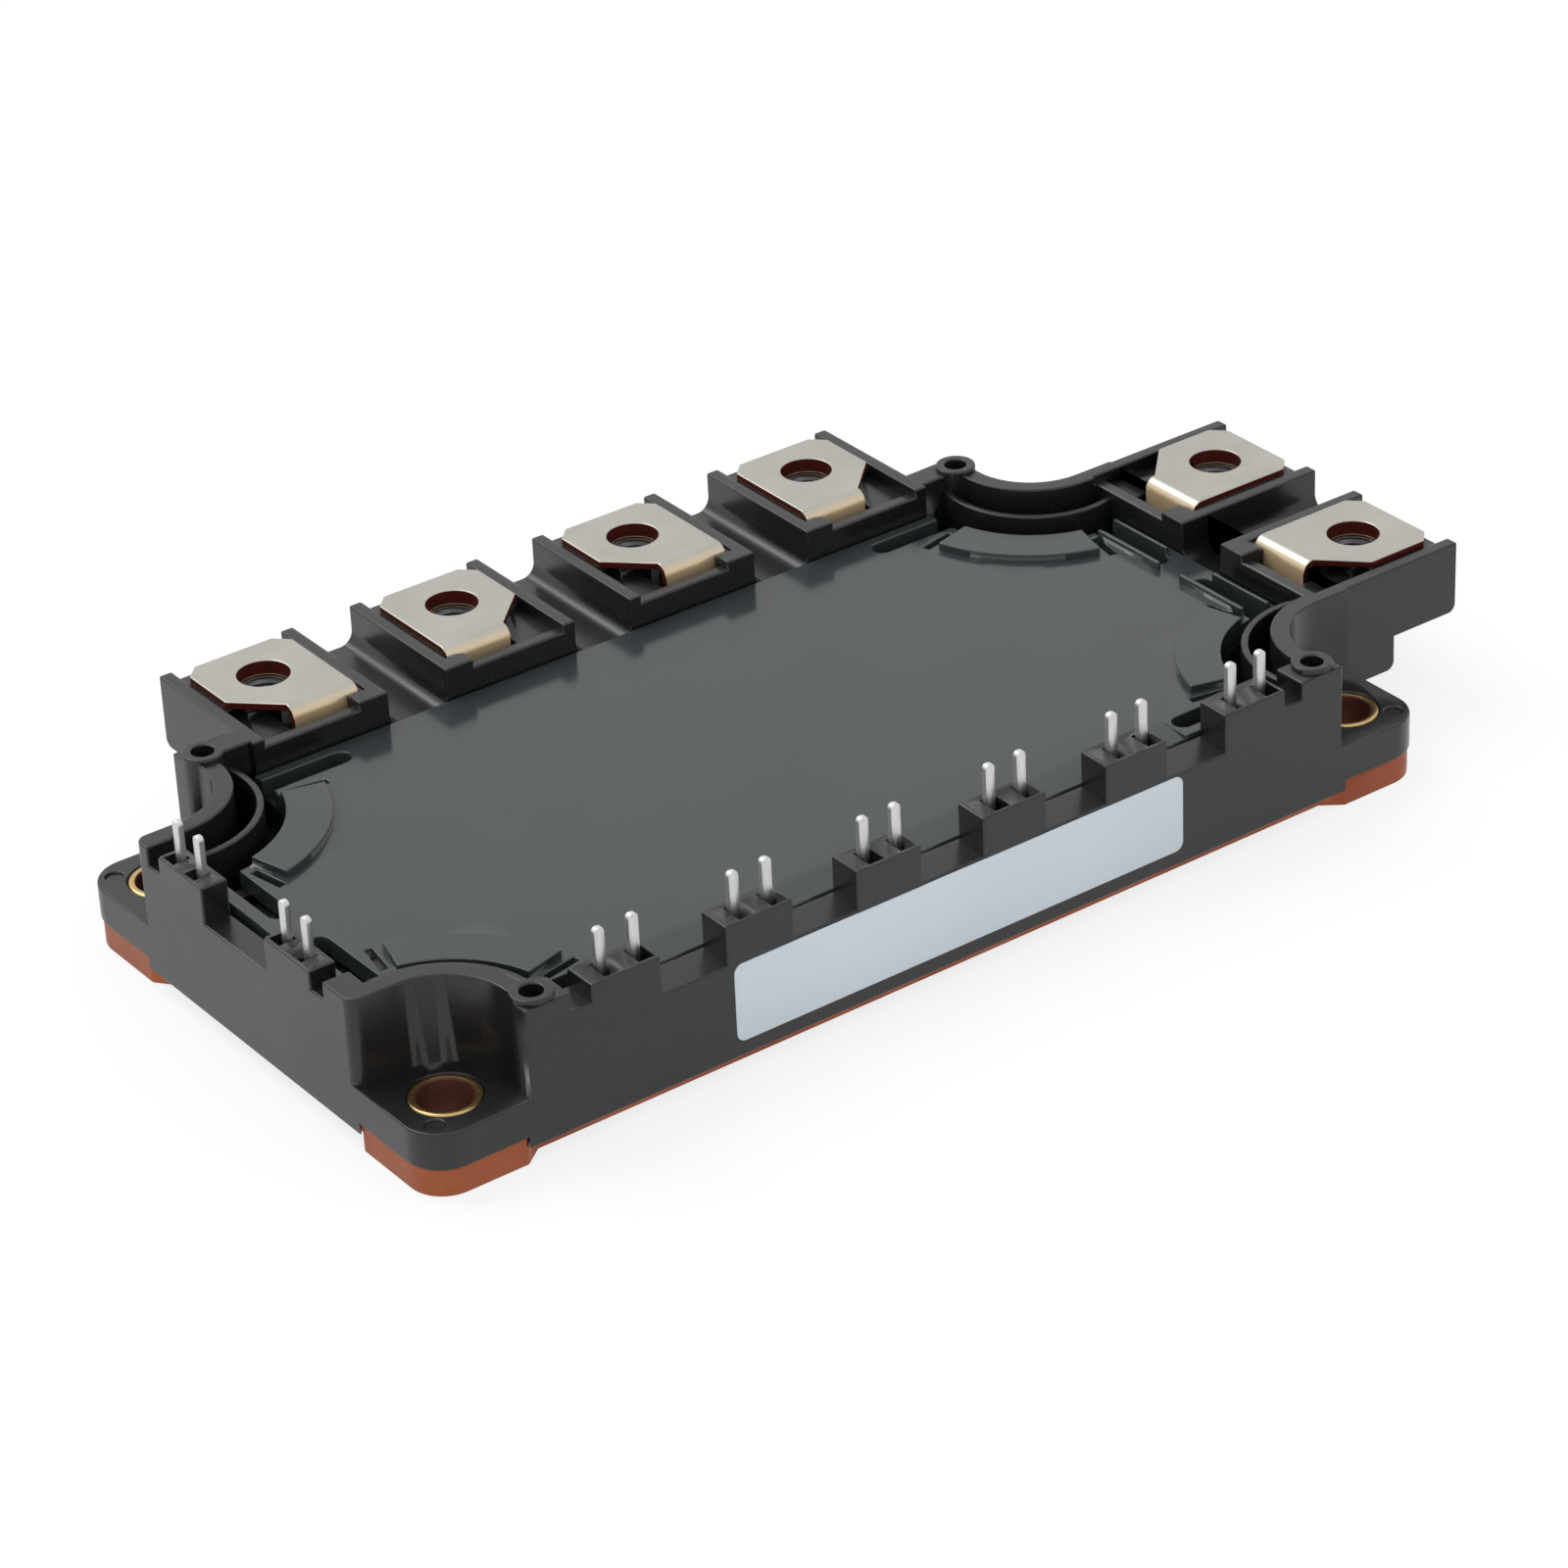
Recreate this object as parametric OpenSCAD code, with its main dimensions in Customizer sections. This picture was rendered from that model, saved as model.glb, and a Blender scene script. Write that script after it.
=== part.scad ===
// Six-pack power transistor module with brake chopper: a copper base plate, a moulded frame with
// screw terminals on two sides and contact pins on the other two, a snap-in lid and the inner stack.
// Millimetres. X runs along the long side, Y towards the four-terminal side, Z up. The origin is the
// centre of the four mounting holes on the face that lies on the heat sink.

/* [Case] */
// Length of the case, without the overhanging terminal blocks
case_l = 121.7; // [121.2:0.1:125]
// Width of the case, without the overhanging terminal blocks
case_w = 62; // [61.4:0.1:65]
// Radius of the four upright case corners
case_corner_r = 4; // [2:0.5:5]
// Height of the wall tops above the heat sink
wall_top = 16.5; // [16:0.1:18]
// Thickness of the left, right and back walls
wall_t = 3; // [2.6:0.1:3.4]
// Thickness of the front wall, which holds most of the contact pins
front_wall_t = 4; // [3.6:0.1:4.4]
// Height of the top of the four corner flanges
flange_top = 7; // [5:0.1:9]

/* [Base plate] */
// Thickness of the copper base plate
plate_t = 3; // [2.5:0.1:4]
// Step of the plate edge inside the case edge at the corners
plate_inset = 0.2; // [0.1:0.05:0.5]
// Set-back of the plate edge between the corner ears
plate_setback = 1.8; // [1:0.1:2.4]
// Length of an ear along the long side, from the end of the case
ear_l = 12.85; // [11:0.05:14]
// Length of an ear along the short side, from the side of the case
ear_w = 14; // [12:0.5:17]
// How far the slanted flank of an ear runs along the side
ear_slant = 2.5; // [1:0.1:4]
// Depth of the frame skirt below the top of the plate
skirt_h = 1.2; // [0.3:0.1:1.5]
// Gap between the skirt and the plate edge
skirt_gap = 0.2; // [0.1:0.05:0.4]

/* [Mounting] */
// Distance of the mounting holes from the ends of the case
hole_in_x = 5.85; // [5.6:0.05:6.2]
// Distance of the mounting holes from the long sides of the case
hole_in_y = 6; // [5.8:0.1:6.4]
// Diameter of the mounting holes
hole_d = 5.5; // [4.5:0.1:6.5]
// Wall thickness of the brass collars in the mounting holes
collar_t = 0.85; // [0.6:0.05:1.2]
// Distance of the screw recess from the hole centre, towards the middle along X
recess_x = 6.3; // [6:0.1:6.6]
// Distance of the screw recess from the hole centre, towards the middle along Y
recess_y = 5.8; // [5.5:0.1:6]
// Inner corner radius of the screw recess
recess_r = 7.3; // [6:0.1:8]
// Thickness of the curved rim around the screw recess
rim_t = 2; // [1.2:0.1:2.4]
// Rounding of the upright edge where the recess meets the left wall
recess_edge_r = 1.2; // [0.5:0.1:2]
// Diameter of the round mould mark on each flange
mark_d = 1.8; // [1:0.1:2.4]
// Depth of the round mould mark
mark_h = 0.25; // [0.1:0.05:0.5]
// Distance of the mould mark from the hole centre, along X and along Y
mark_off = 3.55; // [3.2:0.05:3.8]

/* [Board bosses] */
// Distance of the board screw bosses from the ends of the case
boss_in_x = 13.6; // [13.4:0.05:13.9]
// Distance of the board screw bosses from the long sides of the case
boss_in_y = 2.25; // [2.2:0.05:2.4]
// Outer diameter of a boss
boss_d = 4.3; // [3.8:0.1:4.6]
// Diameter of the self-tapping hole in a boss
boss_hole_d = 2.3; // [1.8:0.1:2.4]
// Depth of the self-tapping hole
boss_hole_h = 12.5; // [8:0.1:13]
// Height of a boss above the wall top
boss_proud = 0.5; // [0.2:0.1:1]

/* [Contact pins] */
// Width of a contact pin
pin_w = 1.15; // [0.9:0.05:1.3]
// Thickness of a contact pin
pin_t = 0.65; // [0.5:0.05:0.8]
// Height of the pin tips above the heat sink
pin_top = 20.5; // [19:0.1:22]
// Spacing of the two pins of a pair
pin_pitch = 3.81; // [3.6:0.01:4]
// Distance from the left end of the case to the first pin of the front row
first_pin_in = 21.35; // [21:0.05:22]
// Distance from the right end of the case to the last pin of the front row
last_pin_in = 20.34; // [20:0.01:21]
// Distance of the front pins from the outer face of the front wall
front_pin_in = 2.5; // [2.2:0.1:2.7]
// Distance from the front of the case to the first pin on the left wall
left_low_in = 21.47; // [21:0.01:22]
// Distance from the back of the case to the last pin on the left wall
left_high_in = 17.67; // [17.2:0.01:18]
// Distance of the left pins from the outer face of the left wall
left_pin_in = 1.8; // [1.6:0.1:1.9]
// Length of a pin block before the first pin of its pair
block_before = 2.7; // [2:0.1:3]
// Length of a pin block after the first pin of its pair
block_after = 5.1; // [4.9:0.1:5.6]
// Width of the pocket around each pin foot
pin_pocket_w = 1.8; // [1.5:0.1:2]
// Depth of the pocket around each pin foot
pin_pocket_h = 2.6; // [1:0.1:3]
// Plastic left between a pin pocket and the outer face
pin_pocket_skin = 0.35; // [0.3:0.05:0.6]

/* [Notches] */
// Height of the wall between the pin blocks
notch_floor = 12.6; // [12:0.1:13]
// Drop of the notch floors towards the outer face
notch_drop = 0.4; // [0.1:0.1:0.8]
// Height of the narrow notches beside the corners
corner_notch_floor = 14.5; // [13.5:0.1:15.5]
// Width of the narrow notches beside the corners
corner_notch_w = 2.2; // [1:0.1:2.4]

/* [Terminal blocks] */
// Width of one terminal tower
tower_w = 16; // [15:0.1:17]
// Spacing of the towers along the back
back_pitch = 22.86; // [22.4:0.01:23.2]
// Spacing of the two towers on the right side
side_pitch = 22; // [21.4:0.1:22.4]
// Reach of the towers beyond the case wall
tower_out = 14.5; // [14.2:0.1:15.5]
// How much further out the two towers on the right side stand
side_shift = 0.6; // [0:0.1:1]
// Step of the tower fronts inside the case wall
tower_proud = 0.6; // [0.3:0.1:0.9]
// Height of the underside of the overhanging towers
tower_under = 8.4; // [7.6:0.1:9]
// Reach of the thick root below the towers
root_out = 6; // [5:0.1:8]
// Height of the underside of the root
root_under = 4.6; // [4:0.1:6]
// Rounding of the lower edges of the towers
tower_edge_r = 1; // [0.5:0.1:1.5]
// Height of the rounded floor between two towers
gap_floor = 12.2; // [11.6:0.1:13]
// Radius in the corners of that floor
gap_r = 1.5; // [0.8:0.1:2.5]
// Thickness of the ribs at the front of a tower
tower_rib = 1.5; // [1:0.1:2]
// Height of the lowered front wall of a tower
front_low = 15.6; // [15.3:0.1:16.2]
// Width of the full-height corner beside it, on the side of the leg
post_w = 3.5; // [2.8:0.1:4.2]
// Height of the floor of the pocket beside a terminal leg
pocket_floor = 15; // [14.7:0.1:15.3]
// Height of the floor in front of a terminal leg
leg_floor = 14; // [13.5:0.1:14.5]
// Reach of that pocket behind the case face
pocket_back = 3; // [2.5:0.1:3.3]
// Clearance between the end of a plate and the step beyond it
step_gap = 0.2; // [0.1:0.1:0.5]
// Depth of the step at the outer end of a tower top
end_step = 1.4; // [0.5:0.1:2]
// Gap between a terminal plate and the tower ribs
plate_gap = 0.4; // [0.2:0.05:0.6]

/* [Terminals] */
// Height of the terminal faces above the heat sink
terminal_top = 17; // [16.8:0.1:18.2]
// Thickness of the terminal copper
terminal_t = 0.8; // [0.6:0.1:1]
// Width of a terminal plate
terminal_w = 12.2; // [11.6:0.1:12.4]
// Start of the flat plate, measured outwards from the case face
flat_start = 0.2; // [0.1:0.1:0.5]
// End of the flat plate, measured outwards from the case face
flat_end = 13; // [12.6:0.1:13.4]
// Outer bend radius where the plate turns down
bend_r = 1.3; // [1.1:0.1:1.6]
// Width of the leg that the plate turns down into
leg_w = 7.8; // [6:0.1:8.6]
// Length along the plate edge of the slanted inner corner
slant_l = 4.3; // [3:0.1:4.6]
// Cut at the two outer corners of a plate
corner_cut = 1.5; // [0.8:0.1:2.5]
// Diameter of the screw hole in a terminal
terminal_hole_d = 5.5; // [5.1:0.1:6]
// Depth of the plunged rim of a screw hole below the plate
hole_rim_h = 0.9; // [0.6:0.1:1.1]
// Wall of that rim
hole_rim_t = 0.5; // [0.4:0.1:0.7]
// Distance of the screw holes from the case face
terminal_hole_out = 7.2; // [6.9:0.1:7.6]
// Width across the flats of the nuts
nut_af = 8; // [7.6:0.1:8.4]
// Height of the nuts
nut_h = 4; // [3.2:0.1:4.2]
// Core diameter of the nut thread
nut_bore_d = 4.2; // [3.4:0.1:4.6]
// Clearance around and above a nut
nut_gap = 0.1; // [0.05:0.01:0.2]
// Diameter of the blind hole for the screw end below a nut
screw_well_d = 5.8; // [5.2:0.1:6.4]
// Plastic left below the blind hole
screw_well_skin = 1.4; // [1:0.1:2]

/* [Lid] */
// Height of the lid face above the heat sink
lid_top = 13; // [12.8:0.1:13.2]
// Thickness of the lid
lid_t = 2; // [1.5:0.1:2.4]
// Gap between the lid and the left wall
lid_gap_left = 0.65; // [0.2:0.05:0.8]
// Gap between the lid and the other walls
lid_gap = 0.2; // [0.1:0.05:0.3]
// Radius of the round corner cut-outs, about the mounting holes
lid_cut_r = 12.5; // [12:0.1:13]
// Height of the curved pads beside the cut-outs
pad_h = 0.8; // [0.3:0.1:1.2]
// Width of the curved pads
pad_w = 4.7; // [3:0.1:6]
// Angle from a case side to the end of a curved pad
pad_end = 15; // [10:1:20]
// Width of the short grooves at the pad ends
groove_w = 0.8; // [0.5:0.1:1]
// Depth of those grooves
groove_h = 1.2; // [0.5:0.1:1.4]
// Distance of those grooves from the cut-out
groove_in = 1.2; // [0.8:0.1:2]
// Angle between a groove and the end of its pad
groove_turn = 4; // [3:1:6]
// Width of the long slots that free the snap arms
slot_w = 2.3; // [1.5:0.1:2.6]
// Width of the snap arms on the left and right
arm_w = 1.5; // [1.2:0.1:2]
// Width of the snap arms on the front and back
cross_arm_w = 1.3; // [1:0.1:1.8]
// Half of the length between two slots on the left and right
slot_half = 2.5; // [1.5:0.1:4]
// Distance from the ends of the case to where the slots on the front and back end
slot_end_in = 27.85; // [26:0.05:29]
// Height of the ribs beside the slots on the right
slot_rib_h = 0.9; // [0.4:0.1:1.4]
// Thickness of those ribs
slot_rib_t = 0.5; // [0.4:0.1:0.8]
// How far the inner rib starts before the end of its slot
rib_lead = 0.8; // [0:0.1:1.2]
// How far the outer rib starts after the end of its slot
rib_lag = 1.2; // [0.5:0.1:2]
// Clearance between the ribs and the corner cut-out
rib_gap = 0.1; // [0.1:0.1:0.5]
// Length over which the front of the lid slopes down
apron_l = 3.8; // [2:0.1:5]
// Clearance between the sloped front and the slots beside it
apron_gap = 0.5; // [0.3:0.1:1]

/* [Label] */
// Distance from the left end of the case to the label
label_in = 34.55; // [30:0.05:40]
// Length of the label
label_l = 54.7; // [40:0.1:60]
// Height of the lower edge of the label
label_z = 3.5; // [3.2:0.1:4.5]
// Width of the label
label_h = 8.5; // [6:0.1:8.8]
// Corner radius of the label
label_r = 1; // [0.8:0.1:2]
// Thickness of the label
label_t = 0.1; // [0.05:0.01:0.2]

/* [Inner stack] */
// Gap between two ceramic substrates
substrate_gap = 1.5; // [1.2:0.1:2.5]
// Distance from the ends of the case to the outer substrates
substrate_in_x = 19.6; // [19.4:0.1:21]
// Distance from the long sides of the case to the ends of the substrates
substrate_in_y = 11; // [10.8:0.1:12]
// Thickness of the ceramic
ceramic_t = 0.6; // [0.3:0.05:1]
// Thickness of the copper bonded to each face of the ceramic
clad_t = 0.3; // [0.2:0.05:0.4]
// Border of bare ceramic around the copper
clad_border = 0.5; // [0.3:0.1:1]
// Thickness of the solder under the substrates
solder_t = 0.2; // [0.1:0.05:0.3]
// Side of a transistor chip
igbt_side = 9; // [7:0.1:10]
// Land left beside the brake chips, at both ends
chip_margin = 0.75; // [0.5:0.05:1]
// Distance between a transistor chip and the end of its long land
chip_clear = 2; // [1:0.1:3]
// Length of a diode chip
diode_l = 6; // [4:0.1:6.6]
// Thickness of the chips
chip_t = 0.2; // [0.1:0.05:0.4]
// Diameter of the aluminium bond wires
wire_d = 0.4; // [0.2:0.05:0.5]
// Radius of a bond wire loop
wire_r = 3; // [2.6:0.1:3.4]
// Spacing of the bond wires
wire_pitch = 2; // [1.2:0.1:2.2]
// Number of bond wires from a chip
wire_count = 4; // [2:1:4]
// Distance of the wire ends from the edge of a chip
bond_in = 1.25; // [0.8:0.05:1.6]
// Length of the thermistor
thermistor_l = 3.2; // [2:0.1:4]
// Width of the thermistor
thermistor_w = 1.6; // [1:0.1:2.5]
// Height of the thermistor
thermistor_h = 0.8; // [0.5:0.1:1.2]
// Height of the shelf that carries the feet of the terminals and pins, above the plate
shelf_h = 3; // [2.6:0.1:3.4]
// Width of that shelf
shelf_w = 4.5; // [4:0.1:4.8]
// Distance of the feet of the terminals and pins from the edge of the shelf
foot_in = 1; // [0.6:0.1:1.4]
// Width of the ledge that carries the lid
ledge_w = 2; // [1.4:0.1:2.4]
// Clear height between the shelf and the ledge
ledge_gap = 2; // [1.6:0.1:2.4]
// Thickness of the round corner walls under the lid
ring_t = 1.5; // [1.2:0.1:1.8]
// Distance of the upright corner ribs inside the lid's cut-outs
corner_rib_in = 2; // [1.5:0.1:2.5]
// Thickness of the upright corner ribs
corner_rib_t = 0.8; // [0.6:0.1:1]
// Height of the upright corner ribs above the lid
corner_rib_h = 1.8; // [1:0.1:2.4]
// Height of the silicone gel above the heat sink
gel_top = 9.5; // [8.8:0.1:10.4]
// Thickness of the seal between the frame and the plate
seal_t = 0.3; // [0.2:0.05:0.5]
// Width of the seal
seal_w = 1.6; // [1:0.1:2]
// Distance of the seal from the inner wall faces, outwards
seal_out = 1.15; // [1:0.05:1.4]
// Distance between the seal and the inner face of the round corner walls
seal_in = 1; // [0.8:0.1:1.4]

/* [Hidden] */
$fn = 64;
// small overshoot of a cut past the face it opens
eps = 0.1;
// how far a cut or a cut-away area reaches beyond the solid
over = 2;
half_l = case_l / 2;
half_w = case_w / 2;
hole_x = half_l - hole_in_x;
hole_y = half_w - hole_in_y;
boss_x = half_l - boss_in_x;
boss_y = half_w - boss_in_y;
ear_x = half_l - ear_l;
ear_y = half_w - ear_w;
collar_r = hole_d / 2 + collar_t;
// inner faces of the four walls
in_left = -half_l + wall_t;
in_right = half_l - wall_t;
in_front = -half_w + front_wall_t;
in_back = half_w - wall_t;
// corner of the screw recess and centre of its inner radius
recess_cx = hole_x - recess_x + recess_r;
recess_cy = hole_y - recess_y + recess_r;
// levels of the shelf, the ledge and the floor of the corner channels
shelf_z = plate_t + shelf_h;
lid_bottom = lid_top - lid_t;
ledge_z = shelf_z + ledge_gap;
ring_r = lid_cut_r + ring_t;
corner_rib_r = lid_cut_r - corner_rib_in;
corner_rib_top = lid_top + corner_rib_h;
slot_end_x = half_l - slot_end_in;
// first pins of the pairs on the left and along the front, and the ends of the front row
left_pairs = [-half_w + left_low_in, half_w - left_high_in - pin_pitch];
front_pairs = 6;
front_pin_x = -half_l + first_pin_in;
pair_pitch = (case_l - first_pin_in - last_pin_in - pin_pitch) / (front_pairs - 1);
front_left = front_pin_x - block_before;
front_right = front_pin_x + (front_pairs - 1) * pair_pitch + block_after;
// terminal seat and the row blocks
seat_z = terminal_top - terminal_t;
back_half = 1.5 * back_pitch + tower_w / 2;
side_half = (side_pitch + tower_w) / 2;
leg_face = flat_start - bend_r;
nut_top = seat_z - hole_rim_h - nut_gap;
foot_end = -wall_t - shelf_w + foot_in;
nut_r = nut_af / 2 / cos(30);
// heights in the inner stack
clad_z = plate_t + solder_t;
ceramic_z = clad_z + clad_t;
face_z = ceramic_z + ceramic_t;
chip_z = face_z + clad_t;
wire_z = chip_z + chip_t;
// substrates, etched lands with half the gap between them, and the chip places on them
substrate_w = (case_l - 2 * substrate_in_x - 2 * substrate_gap) / 3;
substrate_l = case_w - 2 * substrate_in_y;
substrate_pitch = substrate_w + substrate_gap;
land_gap = 0.5;
land_end_x = substrate_w / 2 - clad_border;
land_end_y = substrate_l / 2 - clad_border;
land_split = land_end_y - igbt_side - 2 * chip_margin - land_gap;
land_x = (land_end_x + land_gap) / 2;
igbt_y = land_split - chip_clear - igbt_side / 2;
bond_y = igbt_y - igbt_side / 2 + bond_in - wire_r;
diode_y = bond_y - wire_r + bond_in - diode_l / 2;
brake_y = (land_split + land_gap + land_end_y) / 2;
// colours
copper_c = "#b0683c";
plastic_c = "#232426";
brass_c = "#c9b27a";
nickel_c = "#b8b6ae";
tin_c = "#c8c8c6";
label_c = "#c6ccd6";

// puts a copy of its child in each of the four corners, drawn for the corner at +X +Y
module corners() {
    for (sx = [0, 1], sy = [0, 1])
        mirror([sx, 0, 0]) mirror([0, sy, 0]) children();
}

// rectangle between two corners
module span(x0, y0, x1, y1) {
    translate([x0, y0]) square([x1 - x0, y1 - y0]);
}

// rectangle with true round corners, centred on the origin
module round_rect(l, w, r) {
    square([l - 2 * r, w], center = true);
    square([l, w - 2 * r], center = true);
    corners() translate([l / 2 - r, w / 2 - r]) circle(r);
}

// turns a profile drawn as (outwards, up) so that it is extruded along the row, centred
module along_row(length) {
    rotate([90, 0, 90]) linear_extrude(length, center = true) children();
}

// the same, between two places along the row
module across(x0, x1) {
    translate([(x0 + x1) / 2, 0, 0]) along_row(x1 - x0) children();
}

// places its child at a tower: the origin on the case face, +Y outwards
module at_back(i) {
    translate([(i - 1.5) * back_pitch, half_w, 0]) children();
}

module at_side(i) {
    translate([half_l + side_shift, (i - 0.5) * side_pitch, 0]) rotate(-90) children();
}

module case_outline() {
    round_rect(case_l, case_w, case_corner_r);
}

// strips outside the plate between its corner ears
module setback(g) {
    for (s = [0, 1]) mirror([0, s, 0])
        polygon([
            [-ear_x + g, half_w - plate_setback + g],
            [ear_x - g, half_w - plate_setback + g],
            [ear_x + ear_slant - g, half_w + eps],
            [ear_x + ear_slant - g, half_w + over],
            [-ear_x - ear_slant + g, half_w + over],
            [-ear_x - ear_slant + g, half_w + eps]
        ]);
    for (s = [0, 1]) mirror([s, 0, 0])
        polygon([
            [half_l - plate_setback + g, -ear_y + g],
            [half_l - plate_setback + g, ear_y - g],
            [half_l + eps, ear_y + ear_slant - g],
            [half_l + over, ear_y + ear_slant - g],
            [half_l + over, -ear_y - ear_slant + g],
            [half_l + eps, -ear_y - ear_slant + g]
        ]);
}

// corner areas of the screw recesses, grown by g towards the middle
module recess_zone(g) {
    far_x = half_l + over;
    far_y = half_w + over;
    corners() {
        span(recess_cx - recess_r - g, recess_cy, far_x, far_y);
        span(recess_cx, recess_cy - recess_r - g, far_x, far_y);
        translate([recess_cx, recess_cy]) circle(recess_r + g);
    }
}

// circles about the four mounting holes
module hole_circles(r) {
    corners() translate([hole_x, hole_y]) circle(r);
}

// inside of the case, drawn in from the wall faces by g
module room(g) {
    span(in_left + g, in_front + g, in_right - g, in_back - g);
}

// copper plate with four corner ears
module baseplate() color(copper_c) difference() {
    linear_extrude(plate_t) difference() {
        round_rect(case_l - 2 * plate_inset, case_w - 2 * plate_inset, case_corner_r - plate_inset);
        setback(0);
    }
    corners() translate([hole_x, hole_y, -eps]) cylinder(d = hole_d, h = plate_t + 2 * eps);
}

// brass collar that takes the clamping force of a mounting screw
module collar(sx, sy) color(brass_c) translate([sx * hole_x, sy * hole_y, plate_t]) difference() {
    cylinder(r = collar_r, h = flange_top - plate_t);
    translate([0, 0, -eps]) cylinder(d = hole_d, h = flange_top - plate_t + 2 * eps);
}

// upright profile of a terminal: bend, leg and foot
module terminal_profile(shift) {
    intersection() {
        translate([flat_start, terminal_top - bend_r]) difference() {
            circle(bend_r);
            circle(bend_r - terminal_t);
        }
        span(leg_face, terminal_top - bend_r, flat_start, terminal_top);
    }
    span(leg_face, shelf_z, leg_face + terminal_t, terminal_top - bend_r);
    span(foot_end - shift, shelf_z, leg_face + terminal_t, shelf_z + terminal_t);
}

// mirrors its child for a tower whose leg is on the left; hand is 1 with the leg to the right
module handed(hand) mirror([hand < 0 ? 1 : 0, 0, 0]) children();

// screw terminal bent from one copper strip, with a plunged rim around its screw hole
module terminal(hand, shift) color(nickel_c) handed(hand) {
    half = terminal_w / 2;
    inner = half - leg_w;
    difference() {
        union() {
            translate([0, 0, seat_z]) linear_extrude(terminal_t)
                polygon([
                    [inner, flat_start],
                    [half, flat_start],
                    [half, flat_end - corner_cut],
                    [half - corner_cut, flat_end],
                    [-half + corner_cut, flat_end],
                    [-half, flat_end - corner_cut],
                    [-half, flat_start + slant_l]
                ]);
            translate([0, terminal_hole_out, seat_z - hole_rim_h])
                cylinder(d = terminal_hole_d + 2 * hole_rim_t, h = hole_rim_h + terminal_t / 2);
        }
        translate([0, terminal_hole_out, seat_z - hole_rim_h - eps])
            cylinder(d = terminal_hole_d, h = hole_rim_h + terminal_t + 2 * eps);
    }
    across(inner, half) terminal_profile(shift);
}

// sides of the legs along the back row and along the right side
function back_hand(i) = i % 2 == 0 ? 1 : -1;
function side_hand(i) = i == 0 ? -1 : 1;

// all six terminals, as the frame and the gel are moulded around them
module all_terminals() {
    for (i = [0 : 3]) at_back(i) terminal(back_hand(i), 0);
    for (i = [0 : 1]) at_side(i) terminal(side_hand(i), side_shift);
}

// hexagon nut that lies loose in its pocket, with its threaded hole
module nut() translate([0, terminal_hole_out, nut_top - nut_h]) difference() {
    cylinder(r = nut_r, h = nut_h, $fn = 6);
    translate([0, 0, -eps]) cylinder(d = nut_bore_d, h = nut_h + 2 * eps);
}

module terminal_nuts() color(tin_c) {
    for (i = [0 : 3]) at_back(i) nut();
    for (i = [0 : 1]) at_side(i) nut();
}

// contact pin with a rounded tip, its width along X, and a foot that points to +Y
module pin(foot_l) color(tin_c) {
    tip_r = pin_w / 2;
    rotate([90, 0, 0]) linear_extrude(pin_t, center = true) {
        span(-tip_r, shelf_z, tip_r, pin_top - tip_r);
        intersection() {
            translate([0, pin_top - tip_r]) circle(tip_r);
            span(-tip_r, pin_top - tip_r, tip_r, pin_top);
        }
    }
    translate([-tip_r, -pin_t / 2, shelf_z]) cube([pin_w, foot_l, pin_t]);
}

module front_pin(k, second) {
    foot_l = front_wall_t + shelf_w - front_pin_in - foot_in;
    translate([front_pin_x + k * pair_pitch + second * pin_pitch, -half_w + front_pin_in, 0]) pin(foot_l);
}

module left_pin(i, second) {
    foot_l = wall_t + shelf_w - left_pin_in - foot_in;
    translate([-half_l + left_pin_in, left_pairs[i] + second * pin_pitch, 0]) rotate(-90) pin(foot_l);
}

module all_pins() {
    for (k = [0 : front_pairs - 1], s = [0, 1]) front_pin(k, s);
    for (i = [0, 1], s = [0, 1]) left_pin(i, s);
}

// section across a row of towers that stands out by shift: a thick root and the overhanging block
// with rounded lower edges
module row_section(shift) {
    r = tower_edge_r;
    span(-wall_t, tower_under, tower_out - r, wall_top);
    span(0, tower_under + r, tower_out, wall_top);
    translate([tower_out - r, tower_under + r]) circle(r);
    span(-wall_t, root_under, root_out - r, tower_under + r);
    span(0, root_under + r, root_out, tower_under + r);
    translate([root_out - r, root_under + r]) circle(r);
    span(-wall_t - tower_proud - shift, lid_bottom, 0, wall_top);
}

// rounded gap between two towers, cut along the towers
module gap_cut(width, shift) {
    l = tower_out + wall_t + tower_proud + shift + 2 * eps;
    translate([0, tower_out + eps, 0]) rotate([90, 0, 0]) linear_extrude(l) {
        span(-width / 2, gap_floor + gap_r, width / 2, wall_top + over);
        span(-width / 2 + gap_r, gap_floor, width / 2 - gap_r, gap_floor + 2 * gap_r);
        for (s = [-1, 1]) translate([s * (width / 2 - gap_r), gap_floor + gap_r]) circle(gap_r);
    }
}

// hollows in the top of one tower: plate seat, lowered front wall, pockets around the leg, nut
// pocket and screw well
module tower_cut(hand, shift) handed(hand) {
    half = terminal_w / 2 + plate_gap;
    post = tower_w / 2 - post_w;
    front = -wall_t - tower_proud - shift + tower_rib;
    high = wall_top + over;
    across(-half, half) {
        span(leg_face - plate_gap, seat_z, tower_out + eps, high);
        span(flat_end + step_gap, seat_z - end_step, tower_out + eps, high);
    }
    across(-half, post) {
        span(front - tower_rib - eps, front_low, front + eps, high);
        span(front, pocket_floor, pocket_back, high);
    }
    across(terminal_w / 2 - leg_w - plate_gap, post) span(front, leg_floor, pocket_back, high);
    across(-half, -nut_r) span(front, pocket_floor, flat_start + slant_l + plate_gap, high);
    translate([0, terminal_hole_out, nut_top - nut_h])
        cylinder(r = nut_r + nut_gap, h = nut_h + hole_rim_h + over, $fn = 6);
    translate([0, terminal_hole_out, tower_under + screw_well_skin])
        cylinder(d = screw_well_d, h = wall_top - tower_under);
}

// pocket around the foot of a pin, open upwards
module pin_pocket(edge) {
    back = 0.5;
    translate([-pin_pocket_w / 2, -edge + pin_pocket_skin, wall_top - pin_pocket_h])
        cube([pin_pocket_w, edge - pin_pocket_skin + back, pin_pocket_h + eps]);
}

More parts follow.
